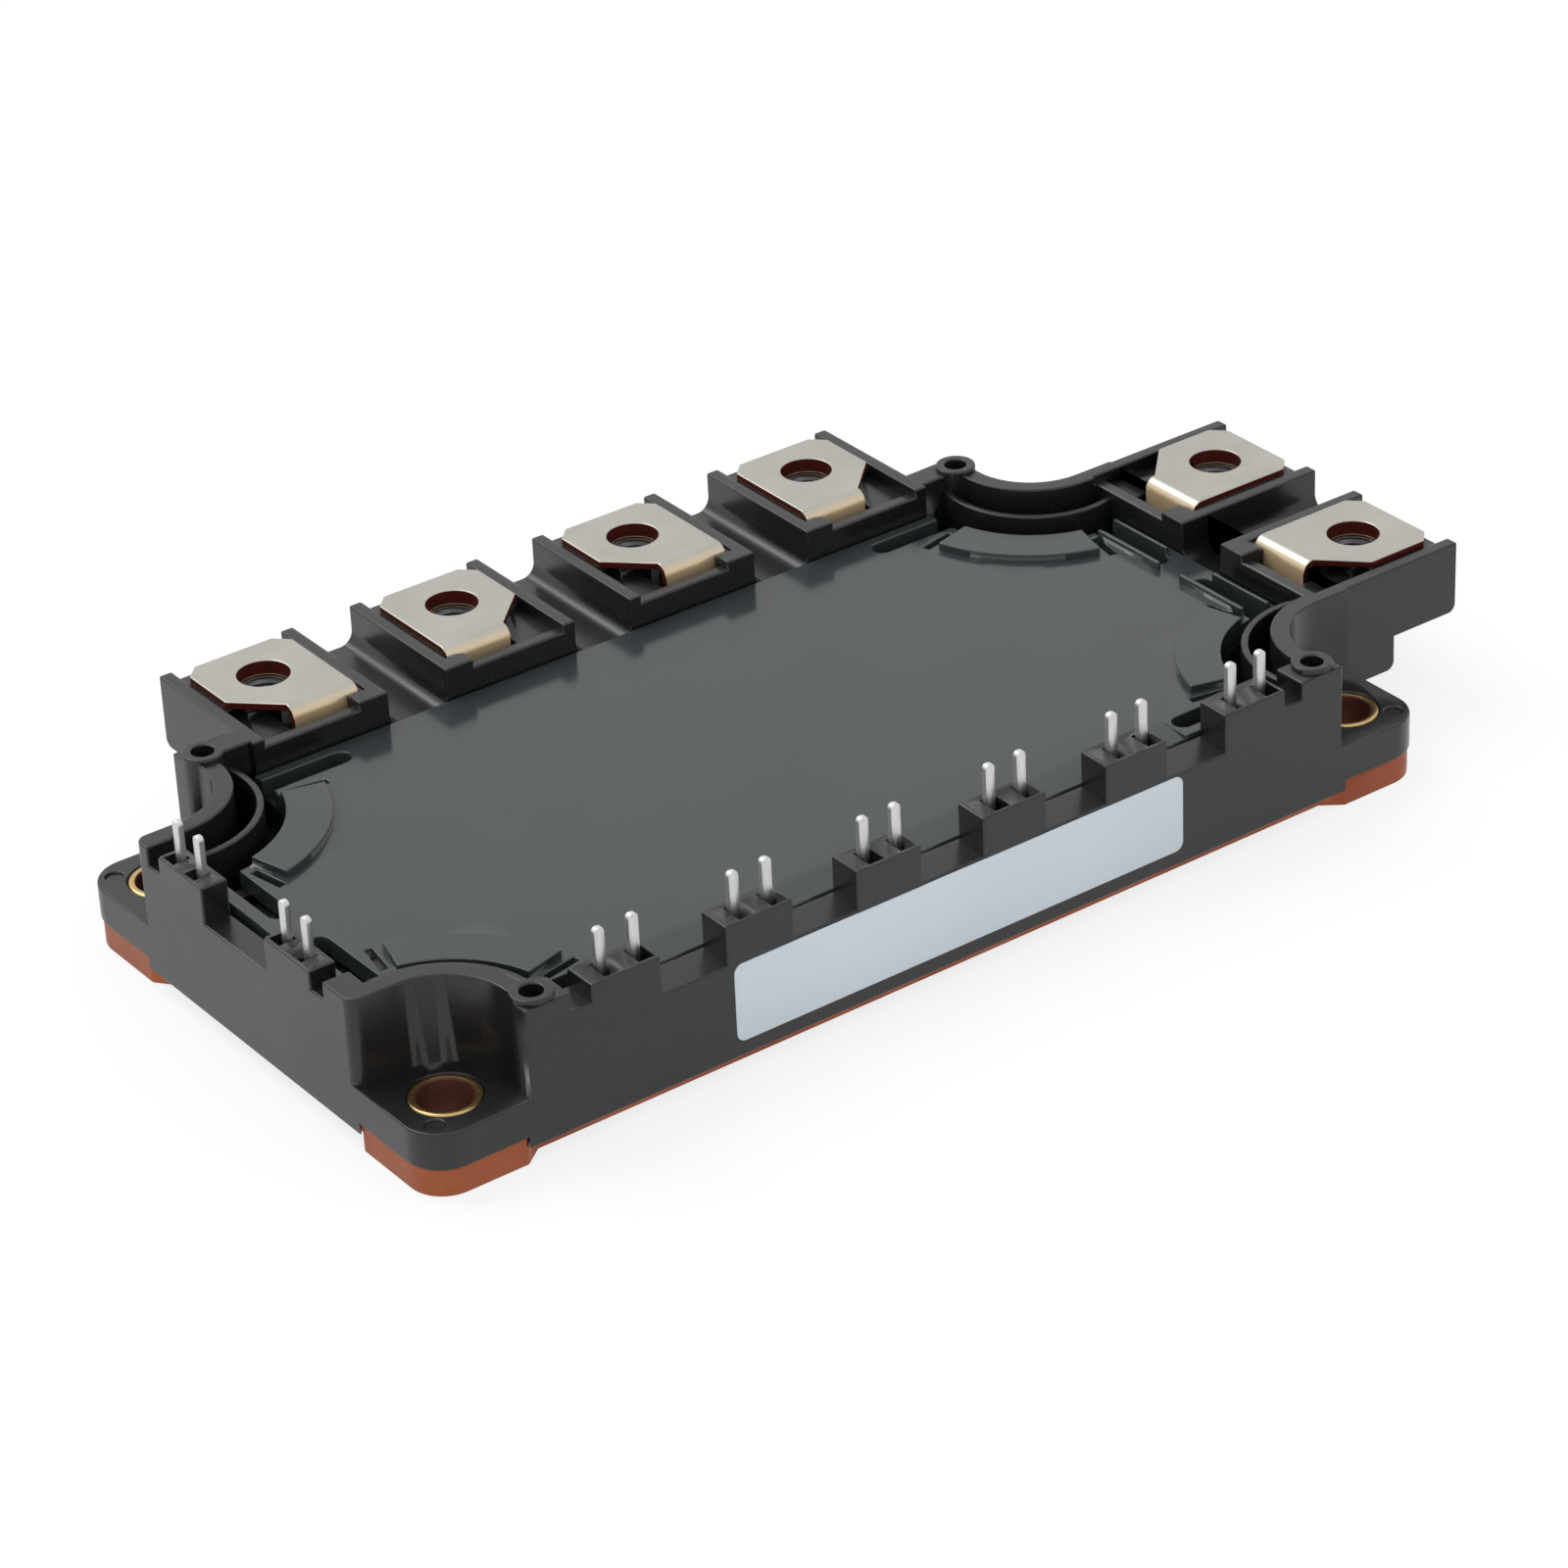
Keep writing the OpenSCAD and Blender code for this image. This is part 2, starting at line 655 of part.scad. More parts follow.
// low stretch of wall that slopes down to the outer face at y = 0; the wall stands at y > 0
module notch(x0, x1, depth, floor_z, drop) {
    across(x0, x1)
        polygon([
            [-eps, floor_z - drop],
            [0, floor_z - drop],
            [depth, floor_z],
            [depth + eps, floor_z],
            [depth + eps, wall_top + eps],
            [-eps, wall_top + eps]
        ]);
}

module front_notches() translate([0, -half_w, 0]) {
    for (k = [0 : front_pairs - 2])
        notch(front_pin_x + k * pair_pitch + block_after, front_pin_x + (k + 1) * pair_pitch - block_before,
            front_wall_t, notch_floor, notch_drop);
    notch(front_left - corner_notch_w, front_left, front_wall_t, corner_notch_floor, 0);
    notch(front_right, front_right + corner_notch_w, front_wall_t, corner_notch_floor, 0);
}

module left_notches() translate([-half_l, 0, 0]) rotate(-90) {
    low = -left_pairs[0];
    high = -left_pairs[1];
    notch(high + block_before, low - block_after, wall_t, notch_floor, 0);
    notch(high - block_after - corner_notch_w, high - block_after, wall_t, corner_notch_floor, 0);
    notch(low + block_before, low + block_before + corner_notch_w, wall_t, corner_notch_floor, 0);
}

// walls, corner flanges, shelf, ledge and corner rings, stacked from the plate upwards
module frame_walls() {
    translate([0, 0, plate_t]) linear_extrude(shelf_h) difference() {
        case_outline();
        difference() {
            room(shelf_w);
            hole_circles(ring_r);
        }
    }
    translate([0, 0, shelf_z]) linear_extrude(ledge_gap) difference() {
        case_outline();
        difference() {
            room(0);
            hole_circles(ring_r);
        }
    }
    translate([0, 0, ledge_z]) linear_extrude(lid_bottom - ledge_z) difference() {
        case_outline();
        difference() {
            room(ledge_w);
            hole_circles(ring_r);
        }
        difference() {
            intersection() {
                hole_circles(lid_cut_r);
                room(0);
            }
            recess_zone(rim_t);
        }
    }
    translate([0, 0, lid_bottom]) linear_extrude(wall_top - lid_bottom) difference() {
        case_outline();
        difference() {
            room(0);
            recess_zone(rim_t);
        }
    }
    translate([0, 0, ledge_z]) linear_extrude(corner_rib_top - ledge_z) difference() {
        intersection() {
            room(-eps);
            difference() {
                hole_circles(corner_rib_r);
                hole_circles(corner_rib_r - corner_rib_t);
            }
        }
        recess_zone(rim_t - eps);
    }
    translate([0, 0, plate_t - skirt_h]) linear_extrude(skirt_h) intersection() {
        case_outline();
        setback(skirt_gap);
    }
}

// the hollows in the corners above the flanges, with the left wall edges rounded
module recess_cut() {
    e = recess_edge_r;
    edge_y = recess_cy - recess_r;
    translate([0, 0, flange_top]) linear_extrude(wall_top + boss_proud + over - flange_top) {
        recess_zone(0);
        for (s = [0, 1]) mirror([0, s, 0]) difference() {
            span(-half_l - eps, edge_y - e, -half_l + e, edge_y + eps);
            translate([-half_l + e, edge_y - e]) circle(e);
        }
    }
}

// bosses for the control board screws, tied to the outer wall
module bosses() {
    corners() translate([boss_x, boss_y, plate_t]) {
        cylinder(d = boss_d, h = wall_top + boss_proud - plate_t);
        translate([-boss_d / 2, 0, 0]) cube([boss_d, boss_in_y, wall_top - plate_t]);
    }
}

module boss_holes() {
    corners() translate([boss_x, boss_y, wall_top + boss_proud - boss_hole_h])
        cylinder(d = boss_hole_d, h = boss_hole_h + eps);
}

// one closed loop of sealing compound in the underside of the frame, inside the screw holes
module seal_ring() {
    difference() {
        room(-seal_out);
        hole_circles(ring_r - seal_in - seal_w);
        difference() {
            room(seal_w - seal_out);
            hole_circles(ring_r - seal_in);
        }
    }
}

module frame_seal() color("#d8d6cf") translate([0, 0, plate_t]) linear_extrude(seal_t) seal_ring();

// the one-piece moulded frame
module housing_frame() color(plastic_c) difference() {
    union() {
        difference() {
            union() {
                frame_walls();
                translate([0, half_w, 0]) along_row(2 * back_half) row_section(0);
                translate([half_l + side_shift, 0, 0]) rotate(-90)
                    along_row(2 * side_half) row_section(side_shift);
            }
            recess_cut();
        }
        bosses();
    }
    front_notches();
    left_notches();
    for (i = [0 : 2]) translate([(i - 1) * back_pitch, half_w, 0]) gap_cut(back_pitch - tower_w, 0);
    translate([half_l + side_shift, 0, 0]) rotate(-90) gap_cut(side_pitch - tower_w, side_shift);
    for (i = [0 : 3]) at_back(i) tower_cut(back_hand(i), 0);
    for (i = [0 : 1]) at_side(i) tower_cut(side_hand(i), side_shift);
    for (k = [0 : front_pairs - 1], s = [0, 1])
        translate([front_pin_x + k * pair_pitch + s * pin_pitch, -half_w + front_pin_in, 0])
            pin_pocket(front_pin_in);
    for (i = [0, 1], s = [0, 1])
        translate([-half_l + left_pin_in, left_pairs[i] + s * pin_pitch, 0]) rotate(-90)
            pin_pocket(left_pin_in);
    corners() translate([hole_x, hole_y, plate_t - eps]) cylinder(r = collar_r, h = flange_top);
    corners() translate([hole_x + mark_off, hole_y + mark_off, flange_top - mark_h])
        cylinder(d = mark_d, h = mark_h + eps);
    boss_holes();
    all_terminals();
    all_pins();
    translate([0, 0, plate_t]) linear_extrude(seal_t) seal_ring();
}

// long slots that free the snap arms, with round closed ends
module lid_slots() {
    r = slot_w / 2;
    left = in_left + lid_gap_left + arm_w + r;
    right = in_right - tower_proud - lid_gap - arm_w - r;
    front = in_front + lid_gap + cross_arm_w + r;
    back = in_back - tower_proud - lid_gap - cross_arm_w - r;
    for (x = [left, right], s = [-1, 1]) {
        translate([x, s * (slot_half + r)]) circle(r);
        span(x - r, min(s * (slot_half + r), s * hole_y), x + r, max(s * (slot_half + r), s * hole_y));
    }
    for (y = [front, back], s = [-1, 1]) {
        translate([s * (slot_end_x + r), y]) circle(r);
        span(min(s * (slot_end_x + r), s * hole_x), y - r, max(s * (slot_end_x + r), s * hole_x), y + r);
    }
}

// curved pad beside a corner cut-out, in the corner at +X +Y
module lid_pad() {
    outer = lid_cut_r + pad_w;
    translate([hole_x, hole_y]) intersection() {
        difference() {
            circle(outer);
            circle(lid_cut_r);
        }
        polygon([
            [0, 0],
            -2 * outer * [cos(pad_end), sin(pad_end)],
            -2 * outer * [1, 1],
            -2 * outer * [sin(pad_end), cos(pad_end)]
        ]);
    }
}

// short groove beside the end of a pad
module pad_groove(a) {
    translate([hole_x, hole_y, 0]) rotate(180 + a)
        translate([lid_cut_r + groove_in, -groove_w / 2, lid_top - groove_h])
            cube([pad_w - groove_in / 2, groove_w, groove_h + 2 * pad_h]);
}

module lid() color(plastic_c) {
    front = in_front + lid_gap;
    arm_x = in_right - tower_proud - lid_gap - arm_w;
    rib_end = hole_y - lid_cut_r - rib_gap;
    difference() {
        union() {
            translate([0, 0, lid_bottom]) linear_extrude(lid_t) difference() {
                span(in_left + lid_gap_left, front, arm_x + arm_w, in_back - tower_proud - lid_gap);
                hole_circles(lid_cut_r);
                lid_slots();
            }
            translate([0, 0, lid_top]) linear_extrude(pad_h) corners() lid_pad();
        }
        translate([0, front, 0]) along_row(2 * (slot_end_x - apron_gap))
            polygon([
                [-eps, lid_top - notch_drop],
                [0, lid_top - notch_drop],
                [apron_l, lid_top],
                [apron_l, lid_top + eps],
                [-eps, lid_top + eps]
            ]);
        corners() for (a = [pad_end - groove_turn, 90 - pad_end + groove_turn]) pad_groove(a);
    }
    for (s = [0, 1]) mirror([0, s, 0]) translate([0, 0, lid_top]) linear_extrude(slot_rib_h) {
        span(arm_x, slot_half + rib_lag, arm_x + slot_rib_t, rib_end);
        span(arm_x - slot_w - slot_rib_t, slot_half - rib_lead, arm_x - slot_w, rib_end - rib_lead);
    }
}

// blank adhesive label on the front wall
module label() color(label_c)
    translate([-half_l + label_in + label_l / 2, -half_w, label_z + label_h / 2]) rotate([90, 0, 0])
        linear_extrude(label_t) round_rect(label_l, label_h, label_r);

// places its child at one of the three substrates
module at_substrate(i) {
    translate([(i - 1) * substrate_pitch, 0, 0]) children();
}

module slab(l, w, z, t) {
    translate([-l / 2, -w / 2, z]) cube([l, w, t]);
}

module substrate_solder() color("#9a9a9e")
    for (i = [0 : 2]) at_substrate(i)
        slab(substrate_w - 2 * clad_border, substrate_l - 2 * clad_border, plate_t, solder_t);

module copper_back(i) color(copper_c) at_substrate(i)
    slab(substrate_w - 2 * clad_border, substrate_l - 2 * clad_border, clad_z, clad_t);

module ceramic(i) color("#e8e6de") at_substrate(i) slab(substrate_w, substrate_l, ceramic_z, ceramic_t);

// four etched lands, the same when turned by half a turn
module copper_face(i) color(copper_c) at_substrate(i) translate([0, 0, face_z]) linear_extrude(clad_t) {
    for (a = [0, 180]) rotate(a) {
        span(-land_end_x, -land_end_y, -land_gap, land_split);
        span(-land_end_x, land_split + land_gap, -land_gap, land_end_y);
    }
}

// transistor chip on the land of the upper or the lower switch
module igbt(i, low) color("#8b8f99") at_substrate(i) rotate(low ? 180 : 0) translate([-land_x, igbt_y, 0])
    slab(igbt_side, igbt_side, chip_z, chip_t);

module diode(i, low) color("#77797f") at_substrate(i) rotate(low ? 180 : 0) translate([-land_x, diode_y, 0])
    slab(igbt_side, diode_l, chip_z, chip_t);

module igbt_brake() color("#8b8f99") at_substrate(0) translate([-land_x, brake_y, 0])
    slab(igbt_side, igbt_side, chip_z, chip_t);

module diode_brake() color("#77797f") at_substrate(0) translate([land_x, -brake_y, 0])
    slab(igbt_side, diode_l, chip_z, chip_t);

// thermistor on a land of the right substrate
module thermistor() color("#3a3a3c") at_substrate(2) translate([-land_x, brake_y, 0])
    slab(thermistor_l, thermistor_w, chip_z, thermistor_h);

// bond wires from each transistor chip to its diode chip
module bond_wires() color("#d0d0d2")
    for (i = [0 : 2], low = [false, true], w = [0 : wire_count - 1])
        at_substrate(i) rotate(low ? 180 : 0)
            translate([-land_x + (w - (wire_count - 1) / 2) * wire_pitch, bond_y, wire_z])
                rotate([90, 0, 90]) rotate_extrude(angle = 180)
                    translate([wire_r, 0]) circle(d = wire_d, $fn = 24);

// everything that the gel is poured over
module inner_stack() {
    substrate_solder();
    for (i = [0 : 2]) {
        copper_back(i);
        ceramic(i);
        copper_face(i);
        for (low = [false, true]) {
            igbt(i, low);
            diode(i, low);
        }
    }
    igbt_brake();
    diode_brake();
    thermistor();
    bond_wires();
}

// soft clear gel that fills the case above the plate
module silicone_gel() color("#c9d6dc") difference() {
    union() {
        translate([0, 0, plate_t]) linear_extrude(shelf_h) difference() {
            room(shelf_w);
            hole_circles(ring_r);
        }
        translate([0, 0, shelf_z]) linear_extrude(ledge_gap) difference() {
            room(0);
            hole_circles(ring_r);
        }
        translate([0, 0, ledge_z]) linear_extrude(gel_top - ledge_z) difference() {
            room(ledge_w);
            hole_circles(ring_r);
        }
    }
    inner_stack();
    all_terminals();
    all_pins();
}

baseplate();
housing_frame();
lid();
label();
frame_seal();
collar(-1, -1);  // collar_front_left
collar(1, -1);  // collar_front_right
collar(-1, 1);  // collar_back_left
collar(1, 1);  // collar_back_right
at_back(0) terminal(1, 0);  // terminal_b
at_back(1) terminal(-1, 0);  // terminal_u
at_back(2) terminal(1, 0);  // terminal_v
at_back(3) terminal(-1, 0);  // terminal_w
at_side(0) terminal(-1, side_shift);  // terminal_n
at_side(1) terminal(1, side_shift);  // terminal_p
terminal_nuts();
front_pin(0, 0);  // pin_gate_up
front_pin(0, 1);  // pin_emitter_up
front_pin(1, 0);  // pin_gate_un
front_pin(1, 1);  // pin_emitter_un
front_pin(2, 0);  // pin_gate_vp
front_pin(2, 1);  // pin_emitter_vp
front_pin(3, 0);  // pin_gate_vn
front_pin(3, 1);  // pin_emitter_vn
front_pin(4, 0);  // pin_gate_wp
front_pin(4, 1);  // pin_emitter_wp
front_pin(5, 0);  // pin_gate_wn
front_pin(5, 1);  // pin_emitter_wn
left_pin(0, 0);  // pin_thermistor_a
left_pin(0, 1);  // pin_thermistor_b
left_pin(1, 0);  // pin_gate_brake
left_pin(1, 1);  // pin_emitter_brake
substrate_solder();
copper_back(0);  // copper_back_u
copper_back(1);  // copper_back_v
copper_back(2);  // copper_back_w
ceramic(0);  // ceramic_u
ceramic(1);  // ceramic_v
ceramic(2);  // ceramic_w
copper_face(0);  // copper_face_u
copper_face(1);  // copper_face_v
copper_face(2);  // copper_face_w
igbt(0, false);  // igbt_up
igbt(0, true);  // igbt_un
igbt(1, false);  // igbt_vp
igbt(1, true);  // igbt_vn
igbt(2, false);  // igbt_wp
igbt(2, true);  // igbt_wn
igbt_brake();
diode(0, false);  // diode_up
diode(0, true);  // diode_un
diode(1, false);  // diode_vp
diode(1, true);  // diode_vn
diode(2, false);  // diode_wp
diode(2, true);  // diode_wn
diode_brake();
thermistor();
bond_wires();
silicone_gel();
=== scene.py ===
from math import cos, pi, radians

import bmesh
import bpy
from mathutils import Euler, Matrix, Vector


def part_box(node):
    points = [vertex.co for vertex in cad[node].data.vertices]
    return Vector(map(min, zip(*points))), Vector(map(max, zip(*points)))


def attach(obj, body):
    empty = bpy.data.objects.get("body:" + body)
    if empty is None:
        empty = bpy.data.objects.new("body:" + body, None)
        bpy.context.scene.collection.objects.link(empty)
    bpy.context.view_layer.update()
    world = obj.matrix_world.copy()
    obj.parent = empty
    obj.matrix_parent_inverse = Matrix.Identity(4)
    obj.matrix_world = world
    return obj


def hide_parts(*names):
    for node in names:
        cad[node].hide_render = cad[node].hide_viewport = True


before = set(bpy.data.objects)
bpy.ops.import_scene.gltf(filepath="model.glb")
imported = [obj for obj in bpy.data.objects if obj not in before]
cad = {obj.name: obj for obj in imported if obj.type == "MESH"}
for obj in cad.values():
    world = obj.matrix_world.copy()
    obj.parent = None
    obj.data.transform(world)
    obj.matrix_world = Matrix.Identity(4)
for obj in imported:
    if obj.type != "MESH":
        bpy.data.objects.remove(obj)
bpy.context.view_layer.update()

# Base plate
# A 3 mm plate of bare copper that lies on the heat sink. It is punched from rolled sheet, so its
# rim is rounded, its faces keep the roll marks, and its skin has turned brown in the solder oven.
mm = 0.001
plate_rim = 0.2 * mm
same_point = 0.002 * mm
same_plane = radians(0.5)
sharp = radians(35)
smooth_up_to = radians(40)


def deselect():
    """Leaves the mesh that is being edited, with nothing selected."""
    if bpy.context.mode != "OBJECT":
        bpy.ops.object.mode_set(mode="OBJECT")
    bpy.ops.object.select_all(action="DESELECT")


def pick(piece):
    """Makes a piece the active one, and the only one selected."""
    deselect()
    piece.select_set(True)
    bpy.context.view_layer.objects.active = piece


def choose(piece, edge=None, face=None):
    """Selects the edges, or the faces, that a test on their place or direction picks out."""
    bpy.context.tool_settings.mesh_select_mode = (False, edge is not None, face is not None)
    mesh = bmesh.from_edit_mesh(piece.data)
    for group in (mesh.faces, mesh.edges, mesh.verts):
        for item in group:
            item.select = False
    for item in mesh.edges if edge else mesh.faces:
        if (edge or face)(item):
            item.select = True
    mesh.select_flush_mode()
    bmesh.update_edit_mesh(piece.data)


def outward(edge):
    """True for an edge that stands out and is sharp."""
    return len(edge.link_faces) == 2 and edge.calc_face_angle_signed(0) > sharp


def moulded_copy(node, name, cuts=()):
    """A copy of a node's shape with its loose triangles merged back into whole faces. Each cut, a
    point and a direction, parts the faces that have a hole in them."""
    pick(cad[node])
    bpy.ops.object.duplicate()
    piece = bpy.context.view_layer.objects.active
    piece.name = name
    piece.data.materials.clear()
    bpy.ops.object.mode_set(mode="EDIT")
    bpy.ops.mesh.select_all(action="SELECT")
    bpy.ops.mesh.remove_doubles(threshold=same_point)
    for point, direction in cuts:
        bpy.ops.mesh.select_all(action="SELECT")
        bpy.ops.mesh.bisect(plane_co=point, plane_no=direction)
        bpy.ops.mesh.mark_seam()
    bpy.ops.mesh.select_all(action="SELECT")
    bpy.ops.mesh.dissolve_limited(angle_limit=same_plane, delimit={"SEAM"})
    return piece


def even_shading(piece):
    """Shades rounded edges smooth and keeps the flat faces between them flat."""
    pick(piece)
    bpy.ops.object.shade_smooth_by_angle(angle=smooth_up_to)
    flat = piece.modifiers.new("flat faces", "WEIGHTED_NORMAL")
    flat.keep_sharp = True
    flat.weight = 100
    bpy.ops.object.modifier_apply(modifier="flat faces")


def soften(piece, width, segments=2, where=None):
    """Rounds the outward edges of the piece that is being edited, all or where a test says so, and
    shades the roundings smooth."""
    choose(piece, edge=lambda e: outward(e) and (where is None or where(e)))
    bpy.ops.mesh.bevel(offset=width, segments=segments, clamp_overlap=False, affect="EDGES")
    bpy.ops.object.mode_set(mode="OBJECT")
    even_shading(piece)


def place(piece, slot, *nodes):
    """Puts a finished piece on the body, in the place of its nodes. Its slot argument is not used."""
    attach(piece, "root")
    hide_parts(*nodes)


def linear(colour):
    """The linear colour of an sRGB hex value."""
    parts = [int(colour[i:i + 2], 16) / 255 for i in (1, 3, 5)]
    return tuple(c / 12.92 if c <= 0.04045 else ((c + 0.055) / 1.055) ** 2.4 for c in parts) + (1.0,)


def add(tree, kind, settings=None, links=None):
    """Adds a node, sets its properties or sockets, and links other nodes' outputs to its sockets."""
    made = tree.nodes.new(kind)
    for key, value in (settings or {}).items():
        if isinstance(key, int) or key in made.inputs:
            made.inputs[key].default_value = value
        else:
            setattr(made, key, value)
    for key, source in (links or {}).items():
        tree.links.new(source, made.inputs[key])
    return made


def finish_of(name, **sockets):
    """A new material with the shader's plain values set, with its node tree and its shader."""
    material = bpy.data.materials.new(name)
    material.use_nodes = True
    tree = material.node_tree
    shader = tree.nodes["Principled BSDF"]
    for key, value in sockets.items():
        shader.inputs[key.replace("_", " ")].default_value = value
    return material, tree, shader


base_plate = moulded_copy("baseplate", "base_plate")
soften(base_plate, plate_rim, segments=3)
place(base_plate, "copper", "baseplate")

# Rolled copper, bare: a dull brown satin metal with fine roll lines along X and patches of redder
# oxide
rolled_copper, tree, shader = finish_of("rolled bare copper", Metallic=1.0)
spot = add(tree, "ShaderNodeTexCoord").outputs["Object"]
along = add(tree, "ShaderNodeMapping", {"Scale": (0.04, 1, 1)}, {"Vector": spot})
lines = add(tree, "ShaderNodeTexNoise", {"Scale": 1 / (0.35 * mm), "Detail": 3.0},
            {"Vector": along.outputs["Vector"]})
oxide = add(tree, "ShaderNodeTexNoise", {"Scale": 1 / (9 * mm), "Detail": 4.0}, {"Vector": spot})
patches = add(tree, "ShaderNodeMapRange", {"From Min": 0.35, "From Max": 0.7},
              {"Value": oxide.outputs["Fac"]})
colour = add(tree, "ShaderNodeMix", {"data_type": "RGBA", 6: linear("#a05e42"), 7: linear("#8a4a34")},
             {0: patches.outputs["Result"]})
gloss = add(tree, "ShaderNodeMapRange", {"To Min": 0.36, "To Max": 0.54}, {"Value": lines.outputs["Fac"]})
relief = add(tree, "ShaderNodeBump", {"Strength": 0.6, "Distance": 0.004 * mm},
             {"Height": lines.outputs["Fac"]})
tree.links.new(colour.outputs[2], shader.inputs["Base Color"])
tree.links.new(gloss.outputs["Result"], shader.inputs["Roughness"])
tree.links.new(relief.outputs["Normal"], shader.inputs["Normal"])
base_plate.data.materials.append(rolled_copper)

# Frame
# One moulding of black glass-filled polyester that carries every terminal and pin. The mould
# leaves small round edges, which catch the light as thin pale lines.
frame_edge = 0.22 * mm
pin_t = 0.65 * mm
pin_pocket_reach = 2.45 * mm
pin_axes = []
for node in cad:
    if node.startswith("pin_"):
        low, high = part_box(node)
        if high.x - low.x < high.y - low.y:
            pin_axes.append(Vector(((low.x + high.x) / 2, low.y + pin_t / 2)))
        else:
            pin_axes.append(Vector((low.x + pin_t / 2, (low.y + high.y) / 2)))


def off_pin_pockets(edge):
    """False for an edge of the thin-walled pocket around a pin, which comes sharp from the mould."""
    return all(max((end.co.xy - axis).length for end in edge.verts) > pin_pocket_reach
               for axis in pin_axes)


case_frame = moulded_copy("housing_frame", "case_frame")
soften(case_frame, frame_edge, where=off_pin_pockets)
place(case_frame, "frame_plastic", "housing_frame")

# Glass-filled polyester, moulded: near black and glossy, with a fine orange-peel skin, faint
# grey fibre specks and duller patches where the melt froze first
filled_polyester, tree, shader = finish_of("moulded glass-filled polyester", IOR=1.5)
spot = add(tree, "ShaderNodeTexCoord").outputs["Object"]
skin = add(tree, "ShaderNodeTexNoise", {"Scale": 1 / (0.5 * mm), "Detail": 2.0}, {"Vector": spot})
flow = add(tree, "ShaderNodeTexNoise", {"Scale": 1 / (14 * mm), "Detail": 3.0}, {"Vector": spot})
specks = add(tree, "ShaderNodeTexNoise", {"Scale": 1 / (0.25 * mm), "Detail": 1.0}, {"Vector": spot})
fibre = add(tree, "ShaderNodeMapRange", {"From Min": 0.6, "From Max": 0.8}, {"Value": specks.outputs["Fac"]})
colour = add(tree, "ShaderNodeMix", {"data_type": "RGBA", 6: linear("#17181a"), 7: linear("#2b2c2e")},
             {0: fibre.outputs["Result"]})
gloss = add(tree, "ShaderNodeMapRange", {"From Min": 0.3, "From Max": 0.7, "To Min": 0.2, "To Max": 0.34},
            {"Value": flow.outputs["Fac"]})
relief = add(tree, "ShaderNodeBump", {"Strength": 0.5, "Distance": 0.006 * mm},
             {"Height": skin.outputs["Fac"]})
tree.links.new(colour.outputs[2], shader.inputs["Base Color"])
tree.links.new(gloss.outputs["Result"], shader.inputs["Roughness"])
tree.links.new(relief.outputs["Normal"], shader.inputs["Normal"])
case_frame.data.materials.append(filled_polyester)

# Mounting collars
# Four turned brass rings in the corner flanges that take the clamping force of the screws. Their
# lips are rounded, so each shows as a thin bright line around a brown hole.
collar_nodes = ("collar_front_left", "collar_front_right", "collar_back_left", "collar_back_right")
collar_lip = 0.3 * mm
aligned = 0.9  # least cosine between a normal and the direction that its face is said to have
low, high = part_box(collar_nodes[0])
collar_outer = (high.x - low.x) / 2
collar_wall = 0.85 * mm
middle = (low + high) / 2
deselect()
bpy.ops.mesh.primitive_cylinder_add(vertices=72, radius=collar_outer, depth=high.z - low.z,
                                    location=middle)
collar = bpy.context.view_layer.objects.active
bpy.ops.object.transform_apply(location=True, rotation=True, scale=True)
bpy.ops.object.mode_set(mode="EDIT")
choose(collar, face=lambda f: abs(f.normal.z) > aligned)
bpy.ops.mesh.inset(thickness=collar_wall)
bpy.ops.mesh.bridge_edge_loops()
choose(collar, edge=outward)
bpy.ops.mesh.bevel(offset=collar_lip, segments=4, clamp_overlap=False, affect="EDGES")
bpy.ops.object.mode_set(mode="OBJECT")
bpy.ops.object.shade_smooth_by_angle(angle=smooth_up_to)


def moved_copy(piece, name, shift):
    """A copy with its own mesh, moved in its mesh so that its object stays at the origin."""
    pick(piece)
    bpy.ops.object.duplicate()
    made = bpy.context.view_layer.objects.active
    made.name = name
    bpy.ops.object.mode_set(mode="EDIT")
    bpy.ops.mesh.select_all(action="SELECT")
    bpy.ops.transform.translate(value=shift)
    bpy.ops.object.mode_set(mode="OBJECT")
    return made


# Turned brass: yellow and bright, tarnished in places, with a finely uneven gloss from the tool
turned_brass, tree, shader = finish_of("turned brass", Metallic=1.0)
spot = add(tree, "ShaderNodeTexCoord").outputs["Object"]
tarnish = add(tree, "ShaderNodeTexNoise", {"Scale": 1 / (1.5 * mm), "Detail": 3.0}, {"Vector": spot})
marks = add(tree, "ShaderNodeTexNoise", {"Scale": 1 / (0.3 * mm)}, {"Vector": spot})
colour = add(tree, "ShaderNodeMix", {"data_type": "RGBA", 6: linear("#d8bd84"), 7: linear("#b08d55")},
             {0: tarnish.outputs["Fac"]})
gloss = add(tree, "ShaderNodeMapRange", {"To Min": 0.16, "To Max": 0.34}, {"Value": marks.outputs["Fac"]})
tree.links.new(colour.outputs[2], shader.inputs["Base Color"])
tree.links.new(gloss.outputs["Result"], shader.inputs["Roughness"])
collar.data.materials.append(turned_brass)

# The bore is never polished: brown, dull brass with patches of darker oxide
dull_brass, tree, shader = finish_of("oxidised brass", Metallic=0.7, Roughness=0.6)
spot = add(tree, "ShaderNodeTexCoord").outputs["Object"]
oxide = add(tree, "ShaderNodeTexNoise", {"Scale": 1 / (1.2 * mm), "Detail": 3.0}, {"Vector": spot})
colour = add(tree, "ShaderNodeMix", {"data_type": "RGBA", 6: linear("#7a4c3c"), 7: linear("#55362c")},
             {0: oxide.outputs["Fac"]})
tree.links.new(colour.outputs[2], shader.inputs["Base Color"])
collar.data.materials.append(dull_brass)
for face in collar.data.polygons:
    out_from_axis = (face.center - middle).xy
    if out_from_axis.dot(face.normal.xy) < -out_from_axis.length / 2:
        face.material_index = 1

